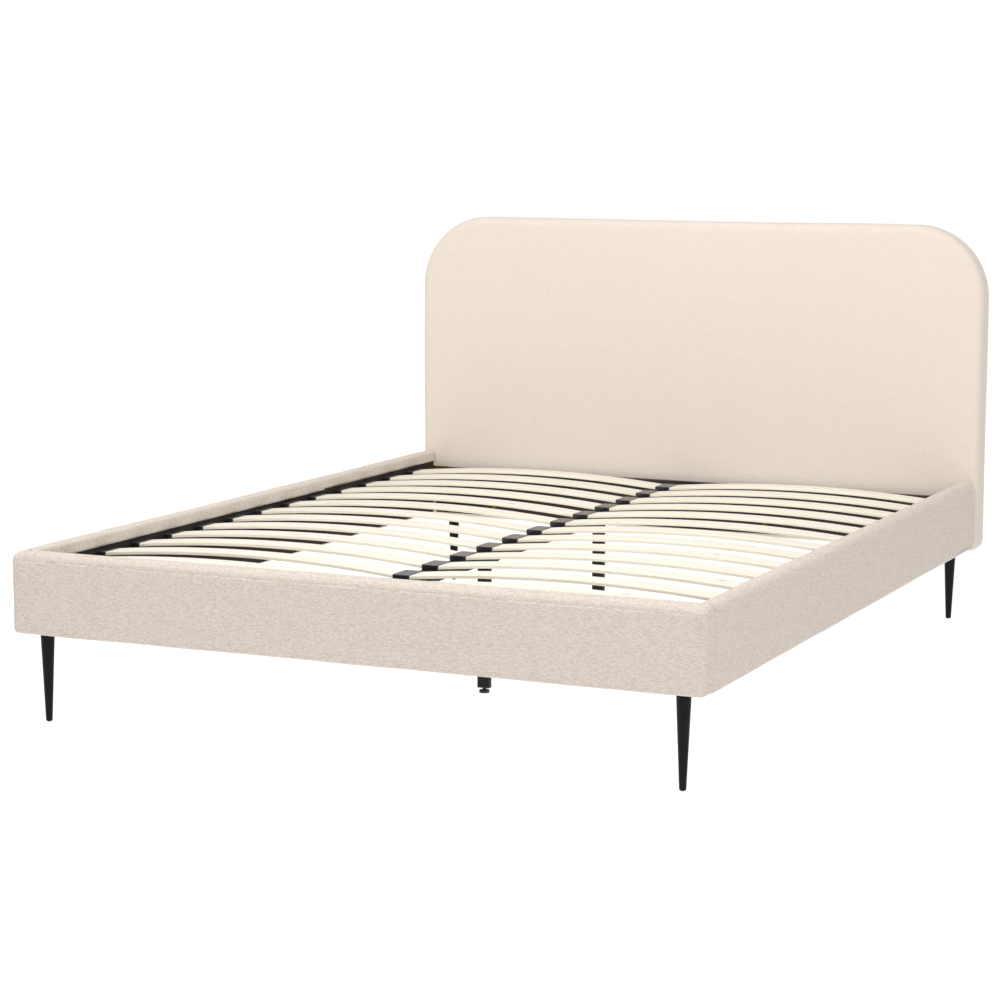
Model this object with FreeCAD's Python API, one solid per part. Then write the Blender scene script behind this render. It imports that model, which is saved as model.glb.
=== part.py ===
import FreeCAD, Part
import math
import os
from FreeCAD import Vector

# Upholstered bed frame for a 1530 x 2030 mattress. Millimetres, +X across the bed,
# +Y towards the headboard, +Z up. The origin is on the floor, in the middle of the bed.

# Frame
frameWidth = 1640.0          # over the covers of the two side rails
frameLength = 2134.0         # front face of the foot rail to front face of the headboard
railBottom = 205.0           # underside of the rails above the floor
railHeight = 183.0
sideRailThickness = 30.0
footRailThickness = 47.0
coverThickness = 2.0         # boucle cover
sideWadding = 4.0            # wadding over the side boards and their head ends
sideBoardRadius = 18.0       # top corner of a side board at the headboard
footWadding = 8.0            # wadding over the foot board
coverReturnTop = 22.0        # cover turned down inside the rail
coverReturnBottom = 5.0      # cover turned up inside the rail
liningThickness = 1.0        # black lining over the inner face of the boards
railOuterRadius = 15.0       # soft outer top edge of a side rail
footOuterRadius = 20.0       # and of the foot rail
railInnerRadius = 8.0        # soft inner top edge and outer bottom edge
railEndRadius = 12.0         # soft upright corners of the foot rail
railButtGap = 1.0            # each side rail end stops this short of its neighbour

# Headboard
headboardOverhang = 13.5     # each side, past the side rails
headboardBottom = 197.0
headboardHeight = 878.0
headboardThickness = 75.0
headboardCornerRadius = 195.0
headboardFootRadius = 22.0
headboardEdgeRadius = 15.0
foamThickness = 25.0         # over the face of the panel
edgeFoam = 8.0               # round the sides and top of the panel and frame
panelThickness = 9.0
frameMemberWidth = 60.0
backReturn = 60.0            # width of the cover turned onto the back
backCloth = 1.0

# Black cross rail on the headboard, between the side rails
headRailThickness = 25.0
headRailBottom = 210.0
headRailTop = 343.0
headRailEndGap = 11.0
headRailBoltRise = 28.0
headRailBoltShares = (-0.75, -0.3, 0.3, 0.75)   # of the way from the middle to a side rail

# Slats and their holders
slatsPerSide = 13
slatWidth = 64.0
slatThickness = 8.0
slatEdgeRadius = 2.5
slatRise = 21.0              # crown above the ends
slatEndHeight = 344.5        # middle of the slat's thickness at its ends
headSlatInset = 176.0        # headboard face to the middle of the first slat
footSlatInset = 182.0        # foot rail face to the middle of the last slat
centreSlatGap = 12.0         # between the inner ends of a pair
slatClearance = 0.3          # all round in a holder's pocket
holderWall = 2.5
holderMouth = 22.0           # how far a side holder covers the slat
centreHolderWidth = 42.0     # across the bed
holderTopWall = 1.4
holderDome = 1.2             # extra height for the rounded top
holderCornerRadius = 4.0     # upright corners
holderTopRadius = 1.5
pegRadius = 4.0
pegClearance = 0.2
sidePegInset = 3.0           # ledge edge to a side peg
sidePegDepth = 12.0
centrePegDepth = 8.0
ledgeWidth = 22.0
ledgeDepth = 30.0
ledgeBracketGap = 0.5
ledgeDrop = 0.5              # ledge below the top of the beam
ledgeScrewsPerSide = 4
ledgeScrewSlats = 3          # slats between two ledge screws
ledgeScrewBite = 15.0        # into the side board

# Centre beam and its legs
beamWidth = 40.0
beamHeight = 25.0
beamWall = 1.5
beamRadius = 2.0
slatToBeam = 1.0             # pocket floor to the top of the beam
beamEndGap = 1.0
hangerSheet = 3.0
hangerLength = 40.0
hangerCheek = 18.0
hangerPlateWidth = 70.0
hangerPlateDrop = 22.0
hangerSideGap = 0.3
hangerScrewInset = 6.0
hangerHeadScrewLength = 20.0
frontLegInset = 744.0        # foot rail face to the front centre leg
backLegInset = 672.0         # headboard face to the back centre leg
centreLegWidth = 30.0
centreLegDepth = 15.0
centreLegWall = 1.5
centreLegBottom = 14.0
centreLegPlate = 3.0
centreLegPlateLength = 76.0
centreLegBoltInset = 12.0
plugFlange = 2.0
plugDepth = 20.0
plugClearance = 0.1
studRadius = 4.0
studClearance = 0.1
studTop = 45.0
footPadRadius = 12.5
footPadHeight = 7.0
footPadChamfer = 1.0

# Tapered legs
legTopRadius = 16.0
legTipRadius = 7.5
legTipRound = 5.0
legPlateThickness = 3.0
legPlateWidth = 84.0
legPlateRadius = 8.0
frontPlateDepth = 66.0
frontPlateInward = 12.0      # plate middle from the leg axis, towards the middle of the bed
frontPlateRearward = 15.0    # and towards the headboard
backPlateDepth = 44.0
plateScrewSideInset = 6.0
plateScrewEndInset = 8.0
backPlateScrews = (6.0, 17.0)   # behind the leg axis
frontLegSide = 59.0          # side of the frame to the leg's axis
frontLegFront = 45.0         # foot rail face to the leg's axis
backLegSide = 82.5           # side of the headboard to the leg's axis

# Corner brackets, blocks and fasteners
bracketThickness = 3.0
bracketLongLeg = 100.0
bracketShortLeg = 52.0
bracketBottom = 263.0
bracketTop = 347.0
bracketBoltInset = 22.0      # bolts from the ends of the long leg and of the height
bracketShortBoltInset = 30.0
blockWidth = 90.0
blockLength = 82.0
blockHeight = 57.0
blockGap = 0.3
boltRadius = 4.0
boltHeadRadius = 7.0
boltHeadHeight = 4.0
boltLength = 20.0
longBoltLength = 72.0
screwRadius = 2.0
screwHeadRadius = 4.5
screwHeadHeight = 2.5
screwLength = 25.0
boltClearance = 0.2
screwClearance = 0.1
cutTolerance = 0.0001        # for cuts by the long shallow arcs of the slats
overshoot = 1.0              # a cutting block past the face that it opens
edgeTolerance = 0.1          # when edges are picked by their place
leastRadius = 1.0

# Faces that several pieces share
railTop = railBottom + railHeight
headboardWidth = frameWidth + 2 * headboardOverhang
headboardTop = headboardBottom + headboardHeight
footFace = -(frameLength + headboardThickness) / 2
headFace = footFace + frameLength
backFace = headFace + headboardThickness
outerX = frameWidth / 2
railInnerX = outerX - sideRailThickness
liningX = railInnerX + coverThickness - liningThickness
footInnerY = footFace + footRailThickness
liningY = footInnerY - coverThickness + liningThickness
railStartY = footInnerY + railButtGap
railEndY = headFace - railButtGap
headRailFace = headFace - headRailThickness
beamTop = slatEndHeight - slatThickness / 2 - slatClearance - slatToBeam
beamBottom = beamTop - beamHeight
ledgeTop = beamTop - ledgeDrop
holderOuterX = liningX - bracketThickness - slatClearance
slatOuterX = holderOuterX - holderWall - slatClearance
slatInnerX = centreSlatGap / 2
frameLayerY = headFace + coverThickness + foamThickness + panelThickness
frontLegX = outerX - frontLegSide
frontLegY = footFace + frontLegFront
backLegX = headboardWidth / 2 - backLegSide
backLegY = headFace + headboardThickness / 2
centreLegYs = {"front": footFace + frontLegInset, "back": headFace - backLegInset}
slatPitch = (frameLength - headSlatInset - footSlatInset) / (slatsPerSide - 1)
slatYs = [headFace - headSlatInset - slatPitch * row for row in range(slatsPerSide)]


def box(x0, x1, y0, y1, z0, z1):
    return Part.makeBox(x1 - x0, y1 - y0, z1 - z0, Vector(x0, y0, z0))


def mirrored(shape):
    return shape.mirror(Vector(0, 0, 0), Vector(1, 0, 0))


def bothSides(shape):
    return Part.makeCompound([shape, mirrored(shape)])


def roundedFace(corners, radii, place):
    # A flat face: straight sides with an arc of its own radius at each corner.
    count = len(corners)
    arcs = []
    for index in range(count):
        before, here, after = [place(*corners[(index + step) % count]) for step in (-1, 0, 1)]
        towardsBefore = (before - here).normalize()
        towardsAfter = (after - here).normalize()
        halfAngle = towardsBefore.getAngle(towardsAfter) / 2
        reach = radii[index] / math.tan(halfAngle)
        inward = (towardsBefore + towardsAfter).normalize()
        middle = here + inward * (radii[index] / math.sin(halfAngle) - radii[index])
        arcs.append((here + towardsBefore * reach, middle, here + towardsAfter * reach))
    edges = []
    for index, (start, middle, end) in enumerate(arcs):
        if radii[index] > 0:
            edges.append(Part.Arc(start, middle, end).toShape())
        edges.append(Part.LineSegment(end, arcs[(index + 1) % count][0]).toShape())
    return Part.Face(Part.Wire(edges))


def edgesWhere(shape, test):
    return [edge for edge in shape.Edges if test(edge.CenterOfMass)]


# Fasteners: each is (point under the head, direction into the material, length, kind).
fastenerKinds = {
    "bolt": (boltRadius, boltHeadRadius, boltHeadHeight, boltClearance),
    "screw": (screwRadius, screwHeadRadius, screwHeadHeight, screwClearance),
}


def fastenerSolid(fastener):
    point, direction, length, kind = fastener
    shank, head, headHeight, clearance = fastenerKinds[kind]
    solid = Part.makeCylinder(shank, length, point, direction)
    return solid.fuse(Part.makeCylinder(head, headHeight, point - direction * headHeight, direction))


def drilled(shape, fasteners):
    # Clearance holes for every fastener whose shank reaches this shape.
    holes = []
    for point, direction, length, kind in fasteners:
        shank, head, headHeight, clearance = fastenerKinds[kind]
        hole = Part.makeCylinder(shank + clearance, length + clearance, point, direction)
        if hole.BoundBox.intersect(shape.BoundBox):
            holes.append(hole)
    if not holes:
        return shape
    return shape.cut(Part.makeCompound(holes))


def bracketBolts():
    # Two bolts through the long leg into the side board, two through the short leg.
    sideBolts = []
    footBolts = []
    headBolts = []
    boltHeights = [bracketBottom + bracketBoltInset, bracketTop - bracketBoltInset]
    boltYs = [liningY + bracketLongLeg - bracketBoltInset,
              headRailFace - bracketLongLeg + bracketBoltInset]
    shortX = liningX - bracketThickness - bracketShortBoltInset
    for side in (-1, 1):
        inwardX = side * (liningX - bracketThickness)
        for height in boltHeights:
            for alongY in boltYs:
                sideBolts.append((Vector(inwardX, alongY, height), Vector(side, 0, 0), boltLength, "bolt"))
            footPoint = Vector(side * shortX, liningY + bracketThickness, height)
            footBolts.append((footPoint, Vector(0, -1, 0), boltLength, "bolt"))
            headPoint = Vector(side * shortX, headRailFace - bracketThickness, height)
            headBolts.append((headPoint, Vector(0, 1, 0), longBoltLength, "bolt"))
    return sideBolts + footBolts, headBolts


def headRailBolts():
    height = headRailBottom + headRailBoltRise
    return [(Vector(share * railInnerX, headRailFace, height), Vector(0, 1, 0), longBoltLength, "bolt")
            for share in headRailBoltShares]


def centreLegBolts():
    bolts = []
    for legY in centreLegYs.values():
        for offset in (-1, 1):
            boltY = legY + offset * (centreLegPlateLength / 2 - centreLegBoltInset)
            point = Vector(0, boltY, beamBottom - centreLegPlate)
            bolts.append((point, Vector(0, 0, 1), boltLength, "bolt"))
    return bolts


def legScrews():
    screws = []
    up = Vector(0, 0, 1)
    acrossX = legPlateWidth / 2 - plateScrewSideInset
    frontY = frontPlateDepth / 2 - plateScrewEndInset
    plateX = frontLegX - frontPlateInward
    plateY = frontLegY + frontPlateRearward
    for side in (-1, 1):
        for across in (-acrossX, acrossX):
            for along in (-frontY, frontY):
                point = Vector(side * (plateX + across), plateY + along, railBottom - legPlateThickness)
                screws.append((point, up, screwLength, "screw"))
            for along in backPlateScrews:
                point = Vector(side * (backLegX + across), backLegY + along,
                               headboardBottom - legPlateThickness)
                screws.append((point, up, screwLength, "screw"))
    return screws


def hangerScrews():
    screws = []
    for across in (-1, 1):
        screwX = across * (hangerPlateWidth / 2 - hangerScrewInset)
        height = beamBottom + beamHeight / 2
        screws.append((Vector(screwX, liningY + hangerSheet, height), Vector(0, -1, 0), screwLength, "screw"))
        headPoint = Vector(screwX, headRailFace - hangerSheet, height)
        screws.append((headPoint, Vector(0, 1, 0), hangerHeadScrewLength, "screw"))
    return screws


def ledgeScrews():
    screws = []
    spacing = slatPitch * ledgeScrewSlats
    for side in (-1, 1):
        for step in range(ledgeScrewsPerSide):
            screwY = slatYs[0] - spacing * (step + 0.5)
            point = Vector(side * (liningX - ledgeWidth), screwY, ledgeTop - ledgeDepth / 2)
            screws.append((point, Vector(side, 0, 0), ledgeWidth + ledgeScrewBite, "screw"))
    return screws


shortBolts, bracketHeadBolts = bracketBolts()
shortBolts = shortBolts + centreLegBolts()
longBolts = bracketHeadBolts + headRailBolts()
woodScrews = legScrews() + hangerScrews() + ledgeScrews()
allFasteners = shortBolts + longBolts + woodScrews


# Side rails, made on the right and mirrored to the left.
def sideSection(inset, startY, endY):
    corners = [(railInnerX + inset, railBottom + inset), (outerX - inset, railBottom + inset),
               (outerX - inset, railTop - inset), (railInnerX + inset, railTop - inset)]
    radii = [max(railInnerRadius / 2 - inset, leastRadius), railInnerRadius - inset,
             railOuterRadius - inset, railInnerRadius - inset]
    face = roundedFace(corners, radii, lambda x, z: Vector(x, startY, z))
    return face.extrude(Vector(0, endY - startY, 0))


def sideCavity():
    return sideSection(coverThickness, railStartY + coverThickness, railEndY - coverThickness)


def sideBoardBlock():
    endY = railEndY - coverThickness - sideWadding
    top = railTop - coverThickness - sideWadding
    block = box(railInnerX + coverThickness, outerX - coverThickness - sideWadding,
                railStartY + coverThickness, endY, railBottom + coverThickness, top)
    corner = edgesWhere(block, lambda c: c.y > endY - edgeTolerance and c.z > top - edgeTolerance)
    return block.makeFillet(sideBoardRadius, corner)


def sideRailCover():
    envelope = sideSection(0, railStartY, railEndY)
    opening = box(railInnerX - overshoot, railInnerX + coverThickness,
                  railStartY - overshoot, railEndY + overshoot,
                  railBottom + coverReturnBottom, railTop - coverReturnTop)
    return envelope.cut(sideCavity()).cut(opening)


def sideRailBoard():
    return sideBoardBlock().common(sideCavity())


def sideRailPadding():
    return sideCavity().cut(sideBoardBlock())


def sideRailLining():
    return box(liningX, railInnerX + coverThickness, railStartY + coverThickness, railEndY - coverThickness,
               railBottom + coverReturnBottom, railTop - coverReturnTop)


# Foot rail
def footSection(inset, halfWidth, endRadius):
    corners = [(footFace + inset, railBottom + inset), (footInnerY - inset, railBottom + inset),
               (footInnerY - inset, railTop - inset), (footFace + inset, railTop - inset)]
    radii = [railInnerRadius - inset, max(railInnerRadius / 2 - inset, leastRadius),
             railInnerRadius - inset, footOuterRadius - inset]
    face = roundedFace(corners, radii, lambda y, z: Vector(-halfWidth, y, z))
    bar = face.extrude(Vector(2 * halfWidth, 0, 0))
    middleHeight = (railBottom + railTop) / 2
    upright = edgesWhere(bar, lambda c: c.y < footFace + inset + edgeTolerance
                         and abs(c.z - middleHeight) < railHeight / 4
                         and abs(c.x) > halfWidth - edgeTolerance)
    return bar.makeFillet(endRadius, upright)


def footCavity():
    return footSection(coverThickness, outerX - coverThickness, railEndRadius - coverThickness)


def footBoardBlock():
    half = outerX - coverThickness - footWadding
    return box(-half, half, footFace + coverThickness + footWadding, footInnerY - coverThickness,
               railBottom + coverThickness, railTop - coverThickness - footWadding)


def footOpening(sideGap, frontY, backY):
    half = outerX - railEndRadius - sideGap
    return box(-half, half, frontY, backY, railBottom + coverReturnBottom, railTop - coverReturnTop)


def footRailCover():
    envelope = footSection(0, outerX, railEndRadius)
    opening = footOpening(0, footInnerY - coverThickness, footInnerY + overshoot)
    return envelope.cut(footCavity()).cut(opening)


def footRailBoard():
    return footBoardBlock().common(footCavity())


def footRailPadding():
    return footCavity().cut(footBoardBlock())


def footRailLining():
    return footOpening(0, footInnerY - coverThickness, liningY)


# Headboard
def headboardPrism(sideInset, bottomInset, startY, endY):
    half = headboardWidth / 2 - sideInset
    top = headboardTop - sideInset
    bottom = headboardBottom + bottomInset
    cornerRadius = headboardCornerRadius - sideInset
    footRadius = max(headboardFootRadius - sideInset, leastRadius)
    face = roundedFace([(-half, bottom), (half, bottom), (half, top), (-half, top)],
                       [footRadius, footRadius, cornerRadius, cornerRadius],
                       lambda x, z: Vector(x, startY, z))
    return face.extrude(Vector(0, endY - startY, 0))


def headboardEnvelope(inset):
    startY = headFace + inset
    endY = backFace - inset
    slab = headboardPrism(inset, inset, startY, endY)
    rims = edgesWhere(slab, lambda c: c.y < startY + edgeTolerance or c.y > endY - edgeTolerance)
    return slab.makeFillet(headboardEdgeRadius - inset, rims)


def headboardCore(startY, endY):
    return headboardPrism(coverThickness + edgeFoam, coverThickness, startY, endY)


def headboardCover():
    opening = headboardPrism(backReturn, backReturn,
                             backFace - coverThickness - overshoot, backFace + overshoot)
    return headboardEnvelope(0).cut(headboardEnvelope(coverThickness)).cut(opening)


def headboardFoam():
    panelY = headFace + coverThickness + foamThickness
    return headboardEnvelope(coverThickness).cut(headboardCore(panelY, backFace))


def headboardPanel():
    panelY = headFace + coverThickness + foamThickness
    return headboardCore(panelY, frameLayerY)


def headboardFrame():
    rearY = backFace - coverThickness
    windowInset = coverThickness + edgeFoam + frameMemberWidth
    slab = headboardCore(frameLayerY, rearY).common(headboardEnvelope(coverThickness))
    window = headboardPrism(windowInset, windowInset, frameLayerY - overshoot, rearY + overshoot)
    crossHeight = (headboardBottom + headboardTop) / 2
    cross = box(-headboardWidth / 2, headboardWidth / 2, frameLayerY, rearY,
                crossHeight - frameMemberWidth / 2, crossHeight + frameMemberWidth / 2)
    bars = [cross]
    for place in (-headboardWidth / 6, headboardWidth / 6):
        bars.append(box(place - frameMemberWidth / 2, place + frameMemberWidth / 2, frameLayerY, rearY,
                        headboardBottom, headboardTop))
    filling = bars[0].fuse(bars[1:]).common(window)
    return slab.cut(window).fuse(filling).removeSplitter()


def headboardBackCloth():
    gap = backReturn + slatClearance
    return headboardPrism(gap, gap, backFace - coverThickness, backFace - coverThickness + backCloth)


def headRail():
    half = railInnerX - headRailEndGap
    return box(-half, half, headRailFace, headFace, headRailBottom, headRailTop)


# Slats: a shallow arc across half the bed, thickened and given its width along the bed.
def slatArc(extra):
    halfChord = (slatOuterX - slatInnerX) / 2
    arcRadius = (halfChord ** 2 + slatRise ** 2) / (2 * slatRise)
    middleX = (slatOuterX + slatInnerX) / 2
    centreZ = slatEndHeight + slatRise - arcRadius
    halfAngle = math.asin(halfChord / arcRadius) + extra / arcRadius

    def at(radius, angle):
        return Vector(middleX + radius * math.sin(angle), 0, centreZ + radius * math.cos(angle))

    inner = arcRadius - slatThickness / 2 - extra
    outer = arcRadius + slatThickness / 2 + extra
    edges = [
        Part.Arc(at(outer, -halfAngle), at(outer, 0), at(outer, halfAngle)).toShape(),
        Part.LineSegment(at(outer, halfAngle), at(inner, halfAngle)).toShape(),
        Part.Arc(at(inner, halfAngle), at(inner, 0), at(inner, -halfAngle)).toShape(),
        Part.LineSegment(at(inner, -halfAngle), at(outer, -halfAngle)).toShape(),
    ]
    return Part.Face(Part.Wire(edges)), slatWidth + 2 * extra


def slat():
    face, width = slatArc(0)
    face.translate(Vector(0, -width / 2, 0))
    bar = face.extrude(Vector(0, width, 0))
    halfLength = (slatOuterX - slatInnerX) / 2
    longEdges = [edge for edge in bar.Edges if edge.Length > halfLength]
    return bar.makeFillet(slatEdgeRadius, longEdges)


def slatPocket():
    face, width = slatArc(slatClearance)
    face.translate(Vector(0, -width / 2, 0))
    return face.extrude(Vector(0, width, 0))


def holderBody(x0, x1, bottom):
    halfWidth = slatWidth / 2 + slatClearance + holderWall
    mouthHeight = slatEndHeight + slatThickness / 2 + slatClearance + holderTopWall
    body = box(x0, x1, -halfWidth, halfWidth, bottom, mouthHeight + holderDome)
    top = body.BoundBox.ZMax
    upright = edgesWhere(body, lambda c: abs(c.z - (bottom + top) / 2) < edgeTolerance)
    body = body.makeFillet(holderCornerRadius, upright)
    rim = edgesWhere(body, lambda c: c.z > top - edgeTolerance)
    return body.makeFillet(holderTopRadius, rim)


def sideHolder():
    body = holderBody(holderOuterX - holderMouth, holderOuterX, ledgeTop)
    holder = body.cut(slatPocket(), cutTolerance)
    pegX = liningX - ledgeWidth + pegRadius + sidePegInset
    for offset in (-1, 1):
        peg = Part.makeCylinder(pegRadius, sidePegDepth, Vector(pegX, offset * slatWidth / 4, ledgeTop),
                                Vector(0, 0, -1))
        holder = holder.fuse(peg)
    return holder.removeSplitter()


def centreHolder():
    body = holderBody(-centreHolderWidth / 2, centreHolderWidth / 2, beamTop)
    pocket = slatPocket()
    holder = body.cut([pocket, mirrored(pocket)], cutTolerance)
    peg = Part.makeCylinder(pegRadius, centrePegDepth, Vector(0, 0, beamTop), Vector(0, 0, -1))
    return holder.fuse(peg).removeSplitter()


def alongSlats(shape):
    copies = []
    for slatY in slatYs:
        copy = shape.copy()
        copy.translate(Vector(0, slatY, 0))
        copies.append(copy)
    return Part.makeCompound(copies)


def pegHoles(pegX, pegYs, top, depth):
    holes = []
    for slatY in slatYs:
        for offset in pegYs:
            holes.append(Part.makeCylinder(pegRadius + pegClearance, depth + pegClearance,
                                           Vector(pegX, slatY + offset, top), Vector(0, 0, -1)))
    return Part.makeCompound(holes)


def slatLedge():
    startY = liningY + bracketLongLeg + ledgeBracketGap
    endY = headRailFace - bracketLongLeg - ledgeBracketGap
    ledge = box(liningX - ledgeWidth, liningX, startY, endY, ledgeTop - ledgeDepth, ledgeTop)
    pegX = liningX - ledgeWidth + pegRadius + sidePegInset
    return ledge.cut(pegHoles(pegX, (-slatWidth / 4, slatWidth / 4), ledgeTop, sidePegDepth))


# Centre beam, hangers and its two legs
def centreBeam():
    startY = liningY + hangerSheet + beamEndGap
    endY = headRailFace - hangerSheet - beamEndGap
    half = beamWidth / 2
    tube = box(-half, half, startY, endY, beamBottom, beamTop)
    upright = edgesWhere(tube, lambda c: abs(c.x) > half - edgeTolerance
                         and abs(c.y - (startY + endY) / 2) < edgeTolerance)
    tube = tube.makeFillet(beamRadius, upright)
    hollow = box(-half + beamWall, half - beamWall, startY - overshoot, endY + overshoot,
                 beamBottom + beamWall, beamTop - beamWall)
    return tube.cut(hollow).cut(pegHoles(0, (0,), beamTop, centrePegDepth))


def beamHanger(faceY, towards):
    # Back plate on the rail, a shelf under the beam and a cheek on each side of it.
    def span(near, far):
        ends = sorted([faceY + towards * near, faceY + towards * far])
        return ends[0], ends[1]

    inner = beamWidth / 2 + hangerSideGap
    outer = inner + hangerSheet
    plateY = span(0, hangerSheet)
    reachY = span(hangerSheet, hangerLength)
    bottom = beamBottom - hangerSheet
    plate = box(-hangerPlateWidth / 2, hangerPlateWidth / 2, plateY[0], plateY[1],
                beamBottom - hangerPlateDrop, beamTop)
    shelf = box(-outer, outer, reachY[0], reachY[1], bottom, beamBottom)
    cheeks = [box(side[0], side[1], reachY[0], reachY[1], beamBottom, beamBottom + hangerCheek)
              for side in ((-outer, -inner), (inner, outer))]
    return plate.fuse([shelf] + cheeks).removeSplitter()


def centreLeg(legY):
    halfX = centreLegWidth / 2
    halfY = centreLegDepth / 2
    top = beamBottom - centreLegPlate
    tube = box(-halfX, halfX, legY - halfY, legY + halfY, centreLegBottom, top)
    hollow = box(-halfX + centreLegWall, halfX - centreLegWall, legY - halfY + centreLegWall,
                 legY + halfY - centreLegWall, centreLegBottom - overshoot, top)
    plate = box(-beamWidth / 2, beamWidth / 2, legY - centreLegPlateLength / 2,
                legY + centreLegPlateLength / 2, top, beamBottom)
    return tube.cut(hollow).fuse(plate).removeSplitter()


def legEndPlug(legY):
    halfX = centreLegWidth / 2
    halfY = centreLegDepth / 2
    inset = centreLegWall + plugClearance
    flange = box(-halfX, halfX, legY - halfY, legY + halfY, centreLegBottom - plugFlange, centreLegBottom)
    stem = box(-halfX + inset, halfX - inset, legY - halfY + inset, legY + halfY - inset,
               centreLegBottom, centreLegBottom + plugDepth)
    bore = Part.makeCylinder(studRadius + studClearance, plugFlange + plugDepth + 2 * overshoot,
                             Vector(0, legY, centreLegBottom - plugFlange - overshoot))
    return flange.fuse(stem).cut(bore).removeSplitter()


def levellingFoot(legY):
    pad = Part.makeCylinder(footPadRadius, footPadHeight, Vector(0, legY, 0))
    rims = edgesWhere(pad, lambda c: abs(c.x) < edgeTolerance)
    pad = pad.makeChamfer(footPadChamfer, rims)
    stud = Part.makeCylinder(studRadius, studTop - footPadHeight, Vector(0, legY, footPadHeight))
    return pad.fuse(stud)


# Tapered legs with a welded plate on top
def taperedLeg(legX, legY, plateTop, plateDepth, inward, rearward):
    top = plateTop - legPlateThickness
    slope = (legTopRadius - legTipRadius) / (top - legTipRound)
    flat = legTipRadius - legTipRound
    diagonal = math.sin(math.radians(45))
    arcMiddle = Vector(flat + legTipRound * diagonal, 0, legTipRound * (1 - diagonal))
    outline = [
        Part.LineSegment(Vector(0, 0, 0), Vector(flat, 0, 0)).toShape(),
        Part.Arc(Vector(flat, 0, 0), arcMiddle, Vector(legTipRadius, 0, legTipRound)).toShape(),
        Part.LineSegment(Vector(legTipRadius, 0, legTipRound),
                         Vector(legTipRadius + slope * (top - legTipRound), 0, top)).toShape(),
        Part.LineSegment(Vector(legTopRadius, 0, top), Vector(0, 0, top)).toShape(),
        Part.LineSegment(Vector(0, 0, top), Vector(0, 0, 0)).toShape(),
    ]
    cone = Part.Face(Part.Wire(outline)).revolve(Vector(0, 0, 0), Vector(0, 0, 1), 360)
    plate = box(-legPlateWidth / 2, legPlateWidth / 2, -plateDepth / 2, plateDepth / 2, top, plateTop)
    upright = edgesWhere(plate, lambda c: abs(c.z - (top + plateTop) / 2) < edgeTolerance)
    plate = plate.makeFillet(legPlateRadius, upright)
    plate.translate(Vector(-inward, rearward, 0))
    leg = cone.fuse(plate).removeSplitter()
    leg.translate(Vector(legX, legY, 0))
    return leg


def cornerBracket(faceY, towards):
    # L-shaped steel angle: long leg on the side rail, short leg on the cross piece.
    longY = sorted([faceY, faceY + towards * bracketLongLeg])
    shortY = sorted([faceY, faceY + towards * bracketThickness])
    longLeg = box(liningX - bracketThickness, liningX, longY[0], longY[1], bracketBottom, bracketTop)
    shortLeg = box(liningX - bracketShortLeg, liningX, shortY[0], shortY[1], bracketBottom, bracketTop)
    return longLeg.fuse(shortLeg).removeSplitter()


def cornerBlock():
    endX = railInnerX - blockGap
    return box(endX - blockWidth, endX, footInnerY, footInnerY + blockLength,
               railBottom, railBottom + blockHeight)


def solidOnly(shape):
    # Boolean results come as compounds, and a piece of one body is written as its solid.
    solids = shape.Solids
    return solids[0] if len(solids) == 1 else Part.makeCompound(solids)


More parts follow.
